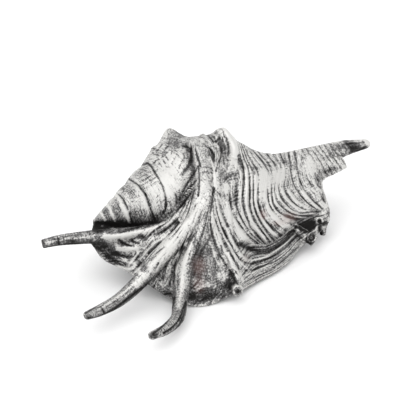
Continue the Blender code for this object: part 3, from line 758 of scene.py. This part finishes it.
# Which points are on the lip: the columns and rows at its border that aren't, and the limits of the turn
# of their normal, and of the gap above and below the surface.
COLUMNS_PER_RIB = 10
BORDER_COLUMNS = 0.3
BORDER_ROWS = 1.4
LEAST_FACING = 0.2
GAP_ABOVE = 7
GAP_BELOW = -1.2

# The spines: how finely their routes are followed, how far apart their places are kept, where they
# leave the lip as a share of their length, and how many radii out a point still belongs to one.
ROUTE_STEPS = 8
SPINE_APART = 200
SPINE_LEAVES_LIP = (0.54, 0.62)
SPINE_RADII = 1.6

# How firmly the rib numbers hold where they are traced and elsewhere, as they are spread over the skin.
TRACED_WEIGHT = 3.0
UNTRACED_WEIGHT = 0.0003
SETTLING_STEPS = 250

# The relief, in millimetres. A crest is measured from the blurred skin, and counts up to its limit.
RIB_SPACING = 3.3
RIB_HEIGHT = 0.30
GROOVE_DEPTH = 0.55
CREST_HEIGHT = 0.35
CREST_LIMIT = 0.3
CREST_BLUR = 8

# How sheltered a place is: the reach, number, spread and lift of the rays that look for the sky, the
# rounds of blurring after them, and how sheltered an open place counts as. Sheltered places darken, as
# patina that collects in hollows and as painted shade.
SHELTER_REACH = 18.0
SHELTER_RAYS = 12
SHELTER_SPREAD = 0.95
SHELTER_LIFT = 0.7
SHELTER_BLUR = 2
OPEN_SHELTER = 0.25

# The silver's darkening, patina together with painted shade: what is everywhere, what each kind of place
# adds to it, its range, how far down a face looks between none and all of the underside's painted shade,
# and how plain the places out of sight are. The dark lines, stains and sheltered hollows add painted shade
# beside the real patina, the undersides add only painted shade, and the bright lines take some away,
# partly as painted highlights.
BASE_PATINA = 0.44
LINE_PATINA_AND_SHADE = 0.70
RUBBED_AND_HIGHLIGHT_PATINA = 0.46
STAIN_AND_SHADE_PATINA = 0.50
SHELTER_PATINA_AND_SHADE = 0.9
SPINE_PATINA = 0.30
UNDERSIDE_PAINTED_SHADE = 0.18
CREST_PATINA = 0.8
PATINA_AND_SHADE_RANGE = (-0.3, 1.5)
UNDERSIDE_SHADE_RANGE = (-0.5, 0.6)
UNSEEN_PLAIN = 0.6


def unit(vector):
    """The direction of a vector."""
    return np.asarray(vector, float) / np.linalg.norm(vector)


def units(vectors):
    """The directions of rows of vectors."""
    return vectors / np.linalg.norm(vectors, axis=1, keepdims=True)


def camera_axes():
    """The photograph's viewing direction, and its right and up."""
    turn, tilt = math.radians(-CAMERA_AZIMUTH), math.radians(CAMERA_ELEVATION)
    forward = np.array([math.sin(turn) * math.cos(tilt), math.cos(turn) * math.cos(tilt), -math.sin(tilt)])
    right = np.array([math.cos(turn), -math.sin(turn), 0.0])
    return forward, right, np.cross(right, forward)


def camera_place():
    """Where the photograph was taken from."""
    return np.array(CAMERA_AIM) - camera_axes()[0] * CAMERA_DISTANCE


def photographed(points):
    """Where points of the shell are in the photograph, in pixels."""
    forward, right, up = camera_axes()
    offset = points - camera_place()
    scale = FOCAL_PIXELS / (offset @ forward)
    middle = PHOTO_WIDTH / 2
    return np.stack([middle + (offset @ right) * scale, middle - (offset @ up) * scale], axis=1)


def seen_share(tree, points, normals):
    """How squarely each point faces the camera, 0 where something is in the way."""
    away = units(camera_place() - points)
    share = smooth_step((away * normals).sum(axis=1), 0.0, SQUARE_ENOUGH)
    starts = points + normals * RAY_LIFT + away * RAY_START
    for i in np.nonzero(share > 0)[0]:
        if tree.ray_cast(starts[i], away[i])[0] is not None:
            share[i] = 0
    return share


def traced(path):
    """The points of a traced path."""
    return np.array([pair.split(",") for pair in path.split()], float)


def offset_from_line(pixels, path):
    """How far each pixel place is from a path, with a minus to the right of it."""
    nearest = np.full(len(pixels), np.inf)
    side = np.ones(len(pixels))
    for start, end in zip(path, path[1:]):
        step = end - start
        t = np.clip(((pixels - start) @ step) / max(step @ step, 1e-9), 0, 1)
        gap = pixels - start - t[:, None] * step
        square = (gap * gap).sum(axis=1)
        closer = square < nearest
        nearest[closer] = square[closer]
        side[closer] = np.sign(step[1] * gap[closer, 0] - step[0] * gap[closer, 1])
    return np.sqrt(nearest) * side


def drawn(pixels, lines):
    """How strongly each place is covered by traced lines."""
    cover = np.zeros(len(pixels))
    for half_width, strength, path in lines:
        line = traced(path)
        reach = LINE_REACH * half_width
        near = ((pixels > line.min(axis=0) - reach) & (pixels < line.max(axis=0) + reach)).all(axis=1)
        gap = offset_from_line(pixels[near], spline(line, STEPS_PER_POINT * len(line)))
        cover[near] = np.maximum(cover[near], strength * np.exp(-((gap / half_width) ** 2)))
    return cover


def spotted(pixels, spots):
    """How strongly each place is covered by soft leaning ellipses."""
    cover = np.zeros(len(pixels))
    for x, y, wide, tall, lean, strength in spots:
        turn = math.radians(lean)
        dx, dy = pixels[:, 0] - x, pixels[:, 1] - y
        along = (dx * math.cos(turn) - dy * math.sin(turn)) / wide
        across = (dx * math.sin(turn) + dy * math.cos(turn)) / tall
        cover += strength * np.exp(-((along**2 + across**2) ** SPOT_EDGE))
    return cover


def faded(pixels):
    """How much the growth lines fade at each place, from 0 to 1."""
    return np.clip(spotted(pixels, PLAIN_PLACES), 0, 1)


def lengthened(line, length):
    """A line's smooth path, made longer at both ends."""
    path = spline(line, STEPS_PER_POINT * len(line))
    first = path[0] + unit(path[0] - path[2]) * length
    last = path[-1] + unit(path[-1] - path[-3]) * length
    return np.vstack([first, path, last])


def rib_numbers(pixels):
    """The rib number of each place among the traced grooves, their strength there, and where they hold."""
    paths = [lengthened(traced(path), GROOVE_OVERRUN) for _, _, path in GROOVES]
    offsets = [offset_from_line(pixels, path) for path in paths]
    number, strength = np.zeros(len(pixels)), np.zeros(len(pixels))
    holds = np.zeros(len(pixels), bool)
    for k, ((rib, depth, _), (next_rib, next_depth, _)) in enumerate(zip(GROOVES, GROOVES[1:])):
        before, after = offsets[k], -offsets[k + 1]
        between = (before >= 0) & (after >= 0) & ~holds
        share = before[between] / np.maximum(before[between] + after[between], 1e-6)
        steps = share * (next_rib - rib)
        from_traced = np.minimum(steps, next_rib - rib - steps)
        number[between] = rib + steps
        faint = np.where(from_traced > 0.5, FAINT_RIB, 1)
        strength[between] = faint * (depth + share * (next_depth - depth))
        holds |= between & (before < GROOVE_REACH) & (after < GROOVE_REACH)
    return number, strength * (1 - faded(pixels)), holds


def joined(name, parts):
    """One object with every part's evaluated mesh. The parts are removed."""
    bpy.context.view_layer.update()
    graph = bpy.context.evaluated_depsgraph_get()
    shape = bmesh.new()
    for part in parts:
        mesh = bpy.data.meshes.new_from_object(part.evaluated_get(graph))
        own = bmesh.new()
        own.from_mesh(mesh)
        bmesh.ops.remove_doubles(own, verts=own.verts[:], dist=WELD * MILLIMETRE)
        own.to_mesh(mesh)
        own.free()
        shape.from_mesh(mesh)
    for part in parts:
        bpy.data.objects.remove(part)
    mesh = bpy.data.meshes.new(name)
    shape.to_mesh(mesh)
    shape.free()
    return linked(name, mesh)


def with_modifiers(shell):
    """Works the shell's modifiers into its mesh."""
    bpy.context.view_layer.update()
    fine = shell.evaluated_get(bpy.context.evaluated_depsgraph_get())
    mesh = bpy.data.meshes.new_from_object(fine)
    shell.modifiers.clear()
    shell.data = mesh


def grown_together(shell):
    """The overlapping forms made into one skin, fine where the photograph shows it."""
    remesh = shell.modifiers.new("one_skin", "REMESH")
    remesh.mode = "VOXEL"
    remesh.voxel_size = VOXEL * MILLIMETRE
    soften = shell.modifiers.new("soften", "SMOOTH")
    soften.factor = 0.5
    soften.iterations = SMOOTH_STEPS
    with_modifiers(shell)
    mesh = shell.data
    points, normals = corner_places(mesh)
    seen = seen_share(tree_of(mesh), points, normals)
    unseen = 1 - np.clip(SEEN_SHARPNESS * blurred(seen, edges_of(mesh), SEEN_BLUR), 0, 1)
    group = shell.vertex_groups.new(name="unseen")
    for i in np.nonzero(unseen > 0)[0].tolist():
        group.add((i,), unseen[i], "REPLACE")
    coarser = shell.modifiers.new("coarser_where_unseen", "DECIMATE")
    coarser.vertex_group = group.name
    coarser.vertex_group_factor = COARSER_FACTOR
    coarser.ratio = TRIANGLES / (2 * len(mesh.polygons))
    with_modifiers(shell)
    return shell


def edges_of(mesh):
    """The numbers of the two corners of each edge."""
    edges = np.empty(2 * len(mesh.edges), int)
    mesh.edges.foreach_get("vertices", edges)
    return edges.reshape(-1, 2)


def corner_places(mesh):
    """The mesh's points and normals in millimetres."""
    points, normals = np.empty((2, 3 * len(mesh.vertices)))
    mesh.vertices.foreach_get("co", points)
    mesh.vertices.foreach_get("normal", normals)
    return points.reshape(-1, 3) / MILLIMETRE, normals.reshape(-1, 3)


def tree_of(mesh):
    """The mesh in millimetres, ready for rays."""
    points, _ = corner_places(mesh)
    return BVHTree.FromPolygons(points.tolist(), [face.vertices[:] for face in mesh.polygons])


def shelter(tree, points, normals):
    """How much of the sky each point can't see, 0 in the open and 1 in a deep hollow."""
    rays = units(np.random.default_rng(3).normal(size=(SHELTER_RAYS, 3)))
    starts = points + normals * SHELTER_LIFT
    hidden = np.zeros(len(points))
    for ray in rays:
        toward = units(normals + SHELTER_SPREAD * ray)
        for i, (start, direction) in enumerate(zip(starts, toward)):
            if tree.ray_cast(start, direction, SHELTER_REACH)[0] is not None:
                hidden[i] += 1
    return hidden / SHELTER_RAYS


def lip_places(points, normals):
    """Each point's place on the lip: rib, share of the way to the edge, and 1 where it is on the lip."""
    grid = lip_surface(COLUMNS_PER_RIB * (len(LIP_RIBS) - 1) + 1)
    rows, columns = grid.shape[:2]
    faces = [
        (i * columns + j, (i + 1) * columns + j, (i + 1) * columns + j + 1, i * columns + j + 1)
        for i in range(rows - 1)
        for j in range(columns - 1)
    ]
    tree = BVHTree.FromPolygons(grid.reshape(-1, 3).tolist(), faces)
    rib, down, share = np.zeros((3, len(points)))
    for k, point in enumerate(points):
        place, normal, face, gap = tree.find_nearest(point)
        place, normal = np.array(place), np.array(normal)
        i, j = divmod(face, columns - 1)
        start = grid[i, j]
        right, fall = grid[i, j + 1] - start, grid[i + 1, j] - start
        rib[k] = j + min(max((place - start) @ right / (right @ right), 0), 1)
        down[k] = i + min(max((place - start) @ fall / (fall @ fall), 0), 1)
        inside = BORDER_COLUMNS < rib[k] < columns - 1 - BORDER_COLUMNS and down[k] < rows - BORDER_ROWS
        facing = abs(normals[k] @ normal) > LEAST_FACING
        share[k] = float(inside and facing and gap < GAP_ABOVE and (point - place) @ normal > GAP_BELOW)
    return rib / COLUMNS_PER_RIB, down / (rows - 1), share


def spine_places(points):
    """Each point's place round and along the nearest ridge, how many radii out, and how far along it."""
    nearest = np.full(len(points), np.inf)
    around, along, reach = np.zeros((3, len(points)))
    for number, route in enumerate(RIDGES.values()):
        path = spline(route, ROUTE_STEPS * len(route))
        steps = np.linalg.norm(np.diff(path[:, :3], axis=0), axis=1)
        travelled = np.concatenate([[0], np.cumsum(steps)])
        for k, step in enumerate(steps):
            start, radius = path[k, :3], path[k, 3]
            run = path[k + 1, :3] - start
            t = np.clip((points - start) @ run / (run @ run), 0, 1)
            gap = points - start - t[:, None] * run
            out = np.linalg.norm(gap, axis=1) / radius
            closer = out < nearest
            sideways = unit(np.cross(run, (0, 0, 1)))
            upward = np.cross(sideways, unit(run))
            from_root = travelled[k] + t[closer] * step
            nearest[closer] = out[closer]
            around[closer] = np.arctan2(gap[closer] @ sideways, gap[closer] @ upward) * radius
            along[closer] = from_root + SPINE_APART * number
            reach[closer] = from_root / travelled[-1]
    return around, along, nearest, reach


def neighbour_sums(values, edges):
    """The sum of the values next to each point along the mesh's edges."""
    first, second = edges.T
    size = len(values)
    return np.bincount(first, values[second], size) + np.bincount(second, values[first], size)


def blurred(values, edges, times):
    """Values averaged with those next to them, over and over."""
    count = np.maximum(neighbour_sums(np.ones(len(values)), edges), 1)
    for _ in range(times):
        values = 0.5 * values + 0.5 * neighbour_sums(values, edges) / count
    return values


def settled(values, weights, edges):
    """The smoothest values on the mesh that keep close to the given ones where their weight is high.

    They balance each point's own weight against its neighbours, by conjugate gradients.
    """
    stiffness = neighbour_sums(np.ones(len(values)), edges) + weights
    scale = 1 / stiffness
    answer = np.zeros(len(values))
    rest = weights * values
    push = scale * rest
    aim = push.copy()
    power = rest @ push
    for _ in range(SETTLING_STEPS):
        pulled = stiffness * aim - neighbour_sums(aim, edges)
        stride = power / (aim @ pulled)
        answer += stride * aim
        rest -= stride * pulled
        push = scale * rest
        new_power = rest @ push
        aim = push + new_power / power * aim
        power = new_power
    return answer


def growth_places(points, normals, pixels, seen, edges):
    """Where each point is among the growth lines, how strong they are, and where it is plain or free."""
    x, y, z = points.T
    rib, down, on_lip = lip_places(points, normals)
    around, along_spine, out, reach = spine_places(points)
    free = smooth_step(reach, *SPINE_LEAVES_LIP) * (out < SPINE_RADII) * (on_lip == 0)

    shell_x = np.maximum(x, APEX_X)
    angle = np.degrees(np.arctan2(-y, z - AXIS_HEIGHT))
    from_axis = np.hypot(y, z - AXIS_HEIGHT)
    on_core = (on_lip == 0) & (from_axis < core_radius(shell_x, angle) + NEAR_CORE)
    spire = smooth_step(-x, -THREADS_END_X, -SPIRE_ENDS_X) * on_core

    bend = BACK_BEND * np.sin(np.radians(BEND_WAVES * angle + BEND_START))
    root = np.interp(x + bend, RIB_ROOTS, np.arange(len(RIB_ROOTS)))
    number = RIBS_PER_ROOT * np.where(on_lip > 0, rib, root)
    along = np.where(on_lip > 0, down * LIP_DEPTH, np.radians(angle) * from_axis)

    grooved, strength, holds = rib_numbers(pixels)
    above = offset_from_line(pixels, spline(traced(OVERHANG), OVERHANG_STEPS))
    rim = (above < RIM_GAP) & (pixels[:, 0] > RIM_STARTS)
    holds &= (seen > TRACED_SEEN) & (spire < 0.5) & (free < 0.5) & ~rim
    weight = np.where(holds, TRACED_WEIGHT, UNTRACED_WEIGHT)
    shift = settled(np.where(holds, grooved - number, 0), weight, edges)
    number = np.where(holds, grooved, number + shift)
    plain = faded(pixels) * seen
    strength = np.where(holds, strength, UNTRACED_RIB * (1 - plain)) * (1 - free)
    strength *= 1 - CANAL_FADE * smooth_step(x, *CANAL_FADE_XS) * (on_core & ~holds)
    strength *= 1 - SPIRE_FADE * spire

    number = np.where(spire > 0.5, whorl_place(shell_x, angle) * SPIRE_THREADS, number)
    number = np.where(rim & (seen > RIM_SEEN), down * RIM_THREADS, number)
    number = np.where(free > 0.5, around / RIB_SPACING, number)
    along = np.where(free > 0.5, along_spine, along)
    return number, along, strength, plain, free


def finished(shell):
    """The shell's points with their relief. The fields of its silver go into its mesh."""
    mesh = shell.data
    points, normals = corner_places(mesh)
    edges, tree = edges_of(mesh), tree_of(mesh)
    seen = seen_share(tree, points, normals)
    pixels = photographed(points)
    dark = drawn(pixels, DARK_LINES) * seen
    bright = drawn(pixels, BRIGHT_LINES) * seen
    number, along, strength, plain, free = growth_places(points, normals, pixels, seen, edges)
    hidden = blurred(shelter(tree, points, normals), edges, SHELTER_BLUR)

    wave = np.cos(2 * math.pi * number) * strength * (1 - free)
    relief = CREST_HEIGHT * bright - GROOVE_DEPTH * dark - RIB_HEIGHT * wave
    points = points + normals * relief[:, None]
    level = np.stack([blurred(points[:, i], edges, CREST_BLUR) for i in range(3)], axis=1)
    crest = np.clip(((points - level) * normals).sum(axis=1), -CREST_LIMIT, CREST_LIMIT)

    stain_and_shade = spotted(pixels, STAINS_SHADE_AND_HIGHLIGHTS) * seen
    # Painted shade on faces that turn down.
    underside_shade = smooth_step(-normals[:, 2], *UNDERSIDE_SHADE_RANGE)
    # Beside the real patina, rubbing and stains, the dark lines, stains and sheltered hollows add painted
    # shade, and the bright lines painted highlights.
    patina_and_shade = BASE_PATINA + LINE_PATINA_AND_SHADE * dark - RUBBED_AND_HIGHLIGHT_PATINA * bright + STAIN_AND_SHADE_PATINA * stain_and_shade
    patina_and_shade += SHELTER_PATINA_AND_SHADE * (hidden - OPEN_SHELTER)
    patina_and_shade += SPINE_PATINA * free + UNDERSIDE_PAINTED_SHADE * underside_shade - CREST_PATINA * crest
    fields = {
        "patina_and_shade": np.clip(patina_and_shade, *PATINA_AND_SHADE_RANGE),
        "blush": spotted(pixels, BLUSHES) * seen,
        "number": number,
        "along": along,
        "groove": strength,
        "plain": np.maximum(np.maximum(free, plain), UNSEEN_PLAIN * (1 - seen)),
    }
    for name, values in fields.items():
        layer = mesh.attributes.new(name, "FLOAT", "POINT")
        layer.data.foreach_set("value", values.astype(np.float32))
    return points


def placed(shell, points):
    """Moves the shell from its own frame into the part's box, which it fills and never leaves."""
    points = points * MILLIMETRE
    low, high = points.min(axis=0), points.max(axis=0)
    shift = (np.array(cad_low) + np.array(cad_high)) / 2 - (low + high) / 2
    shift[2] = cad_high[2] - high[2]
    points = np.clip(points + shift, cad_low, cad_high)
    shell.data.vertices.foreach_set("co", points.astype(np.float32).ravel())
    shell.data.update()
    shell.data.shade_smooth()
    return shift


# Where a noise, which keeps near 0.5, has swung all the way down. It has swung up as far above 0.5.
NOISE_LOW = 0.25
CLOUD_LOW = 0.3


class Nodes:
    """A short way to write a material's node tree."""

    def __init__(self, material):
        material.use_nodes = True
        self.tree = material.node_tree
        self.shader = self.tree.nodes["Principled BSDF"]

    def put(self, socket, value):
        """Links a socket to another, or sets its value."""
        if isinstance(value, bpy.types.NodeSocket):
            self.tree.links.new(value, socket)
        else:
            socket.default_value = value

    def add(self, kind, inputs, **settings):
        """A node with its inputs and settings."""
        node = self.tree.nodes.new(kind)
        for name, value in settings.items():
            setattr(node, name, value)
        for name, value in inputs.items():
            self.put(node.inputs[name], value)
        return node

    def field(self, name):
        """One of the mesh's fields."""
        return self.add("ShaderNodeAttribute", {}, attribute_name=name).outputs["Fac"]

    def maths(self, operation, first, *others, clamp=False):
        """One sum after another: the first value with each of the others in turn."""
        for other in others or (0.0,):
            node = self.add("ShaderNodeMath", {0: first, 1: other}, operation=operation, use_clamp=clamp)
            first = node.outputs["Value"]
        return first

    def noise(self, vector, detail, roughness, scale=1.0):
        """A noise over the places that a vector gives."""
        inputs = {"Vector": vector, "Scale": scale, "Detail": detail, "Roughness": roughness}
        return self.add("ShaderNodeTexNoise", inputs).outputs["Fac"]

    def spread(self, value, low, high, new_low=0.0, new_high=1.0):
        """A value's range from low to high, mapped to a new one and kept within it."""
        inputs = {"Value": value, "From Min": low, "From Max": high, "To Min": new_low, "To Max": new_high}
        return self.add("ShaderNodeMapRange", inputs).outputs["Result"]

    def swing(self, noise, amount, low=NOISE_LOW):
        """A noise as a change of tone, by the amount either way."""
        return self.spread(noise, low, 1 - low, -amount, amount)

    def from_middle(self, value):
        """How far a number is from halfway between whole numbers, from 0 to 0.5."""
        return self.maths("ABSOLUTE", self.maths("SUBTRACT", self.maths("FRACT", value), 0.5))

    def mixed(self, share, first, second):
        """Two colours mixed, by the numbered sockets that a Mix node has for colours."""
        return self.add("ShaderNodeMix", {0: share, 6: first, 7: second}, data_type="RGBA").outputs[2]


# The colours of the silver, from its crests to its grooves and painted shade, and of its warm tint:
# tarnish, and a painted pinkish reflection.
BRIGHT_SILVER = (0.69, 0.683, 0.664, 1)
GREY_SILVER = (0.19, 0.187, 0.187, 1)
BLACK_OF_PATINA_AND_SHADE = (0.026, 0.025, 0.024, 1)
WARM_TARNISH_AND_REFLECTION = (0.32, 0.205, 0.19, 1)
TARNISH_AND_REFLECTION_SHARE = 0.36

# The tones at which the silver turns grey and then black, from the first trace to the full colour.
GREY_TONES = (0.15, 0.6)
BLACK_TONES = (0.55, 1.15)

# The noises that follow the ribs: waves for each rib and for each millimetre along it, detail, roughness.
STREAK = (3.2, 0.10, 3.0, 0.6)
THREAD = (8.0, 0.25, 2.0, 0.5)
GROWTH = (0.4, 1.3, 3.0, 0.6)

# The noises that don't: detail, roughness, waves for each metre.
SPECKLE = (2.0, 0.6, 1100.0)
PITS = (2.0, 0.5, 750.0)
CLOUD = (3.0, 0.5, 160.0)

# How far each noise swings the tone either way, and how much the grooves, pits and fine threads darken it.
STREAK_SWING = 0.32
THREAD_SWING = 0.30
GROWTH_SWING = 0.24
SPECKLE_SWING = 0.34
CLOUD_SWING = 0.10
GROOVE_TONE = 0.65
PIT_TONE = 0.35
THREAD_TONE = 0.45
PLAIN_STREAKS = 0.55

# Where a groove starts and is deepest, from the middle of its rib at 0 to its border at 0.5, and so for
# the fine threads. Then how much the noises break them up: the noise's range, and the share it leaves.
GROOVE_WIDTH = (0.15, 0.44)
THREAD_WIDTH = (0.30, 0.5)
BROKEN_BY_STREAKS = (0.3, 0.6, 0.5, 1.0)
BROKEN_BY_GROWTH = (0.3, 0.7, 0.7, 1.2)
BROKEN_BY_THREADS = (0.4, 0.65)
PIT_RANGE = (0.60, 0.70)

# The finish: the tones from which and to which it dulls, with its roughness there, and its fine bumps.
DULLING = (0.1, 0.9, 0.5, 0.7)
BUMP_STRENGTH = 0.5
BUMP_DISTANCE = 0.0005


def silver():
    """Silver that is bright on the crests and blackened in the grooves and in painted shade, with streaks
    along the ribs.
    """
    material = bpy.data.materials.new("patinated_silver")
    n = Nodes(material)
    number, along, plain = n.field("number"), n.field("along"), n.field("plain")
    place = n.add("ShaderNodeTexCoord", {}).outputs["Object"]

    def along_ribs(per_rib, per_millimetre, detail, roughness):
        """A noise that runs along the ribs."""
        across, down = n.maths("MULTIPLY", number, per_rib), n.maths("MULTIPLY", along, per_millimetre)
        vector = n.add("ShaderNodeCombineXYZ", {"X": across, "Y": down}).outputs["Vector"]
        return n.noise(vector, detail, roughness)

    streak, thread, growth = along_ribs(*STREAK), along_ribs(*THREAD), along_ribs(*GROWTH)
    speckle, cloud, pits = n.noise(place, *SPECKLE), n.noise(place, *CLOUD), n.noise(place, *PITS)

    groove = n.maths(
        "MULTIPLY",
        n.spread(n.from_middle(number), *GROOVE_WIDTH),
        n.field("groove"),
        n.spread(streak, *BROKEN_BY_STREAKS),
        n.spread(growth, *BROKEN_BY_GROWTH),
    )
    fine = n.maths(
        "MULTIPLY",
        n.spread(n.from_middle(n.maths("MULTIPLY", number, 2.0)), *THREAD_WIDTH),
        n.spread(thread, *BROKEN_BY_THREADS),
        n.spread(plain, 0.0, 1.0, THREAD_TONE, 0.0),
    )
    streaks = n.maths("ADD", n.swing(streak, STREAK_SWING), n.swing(thread, THREAD_SWING))
    tone = n.maths(
        "ADD",
        n.field("patina_and_shade"),
        n.maths("MULTIPLY", groove, GROOVE_TONE),
        fine,
        n.maths("MULTIPLY", streaks, n.spread(plain, 0.0, 1.0, 1.0, PLAIN_STREAKS)),
        n.swing(growth, GROWTH_SWING),
        n.swing(speckle, SPECKLE_SWING),
        n.maths("MULTIPLY", n.spread(pits, *PIT_RANGE), PIT_TONE),
        n.swing(cloud, CLOUD_SWING, low=CLOUD_LOW),
    )

    colour = n.mixed(n.spread(tone, *GREY_TONES), BRIGHT_SILVER, GREY_SILVER)
    colour = n.mixed(n.spread(tone, *BLACK_TONES), colour, BLACK_OF_PATINA_AND_SHADE)
    warm_tint = n.maths("MULTIPLY", n.field("blush"), TARNISH_AND_REFLECTION_SHARE, clamp=True)
    height = n.maths("MULTIPLY", tone, -1.0)
    bumps = {"Height": height, "Strength": BUMP_STRENGTH, "Distance": BUMP_DISTANCE}
    finish = {
        "Base Color": n.mixed(warm_tint, colour, WARM_TARNISH_AND_REFLECTION),
        "Metallic": 1.0,
        "Roughness": n.spread(tone, *DULLING),
        "Normal": n.add("ShaderNodeBump", bumps).outputs["Normal"],
    }
    for name, value in finish.items():
        n.put(n.shader.inputs[name], value)
    return material


# The table, in metres, and its plain white finish.
TABLE_SIZE = 6
TABLE_FINISH = {"Base Color": (0.93, 0.93, 0.93, 1), "Roughness": 0.9, "Specular IOR Level": 0.1}


def white_table():
    """A plain white material."""
    material = bpy.data.materials.new("white_table")
    n = Nodes(material)
    for name, value in TABLE_FINISH.items():
        n.put(n.shader.inputs[name], value)
    return material


def floor():
    """The table that the shell lies on."""
    bpy.ops.mesh.primitive_plane_add(size=TABLE_SIZE)
    plane = bpy.context.object
    plane.name = "floor"
    plane.data.materials.append(white_table())


# The room and its lamp, in metres and watts, in the part's frame.
ROOM_BRIGHTNESS = 1.11
LAMP_PLACE = (-0.25, -0.1, 0.9)
LAMP_AIM = (0, 0, 0.02)
LAMP_SIZE = 1.2
LAMP_POWER = 3.5


def aimed(item, place, direction):
    """Puts a lamp or a camera in its place and turns it to a direction."""
    item.location = place
    item.rotation_euler = Vector(direction).to_track_quat("-Z", "Y").to_euler()


def studio():
    """A white room with soft light from above."""
    world = bpy.data.worlds.new("white_room")
    world.use_nodes = True
    background = world.node_tree.nodes["Background"]
    background.inputs["Color"].default_value = (1, 1, 1, 1)
    background.inputs["Strength"].default_value = ROOM_BRIGHTNESS
    bpy.context.scene.world = world
    bpy.context.scene.view_settings.view_transform = "Standard"
    lamp = bpy.data.lights.new("overhead", "AREA")
    lamp.size = LAMP_SIZE
    lamp.energy = LAMP_POWER
    aimed(linked("overhead", lamp), LAMP_PLACE, Vector(LAMP_AIM) - Vector(LAMP_PLACE))


def photo_camera(shift):
    """The photograph's camera, moved with the shell into the part's frame."""
    data = bpy.data.cameras.new("photo_camera")
    data.sensor_width = SENSOR_WIDTH
    data.lens = FOCAL_PIXELS / PHOTO_WIDTH * SENSOR_WIDTH
    data.clip_start = CLIP_START * MILLIMETRE
    camera = linked("photo_camera", data)
    aimed(camera, camera_place() * MILLIMETRE + shift, camera_axes()[0])
    bpy.context.scene.camera = camera


def main():
    """Grows the shell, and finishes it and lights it."""
    shell = grown_together(joined("silver_shell", forms()))
    shift = placed(shell, finished(shell))
    shell.data.materials.clear()
    shell.data.materials.append(silver())
    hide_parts(NODE)
    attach(shell, "root")
    floor()
    studio()
    photo_camera(shift)


main()
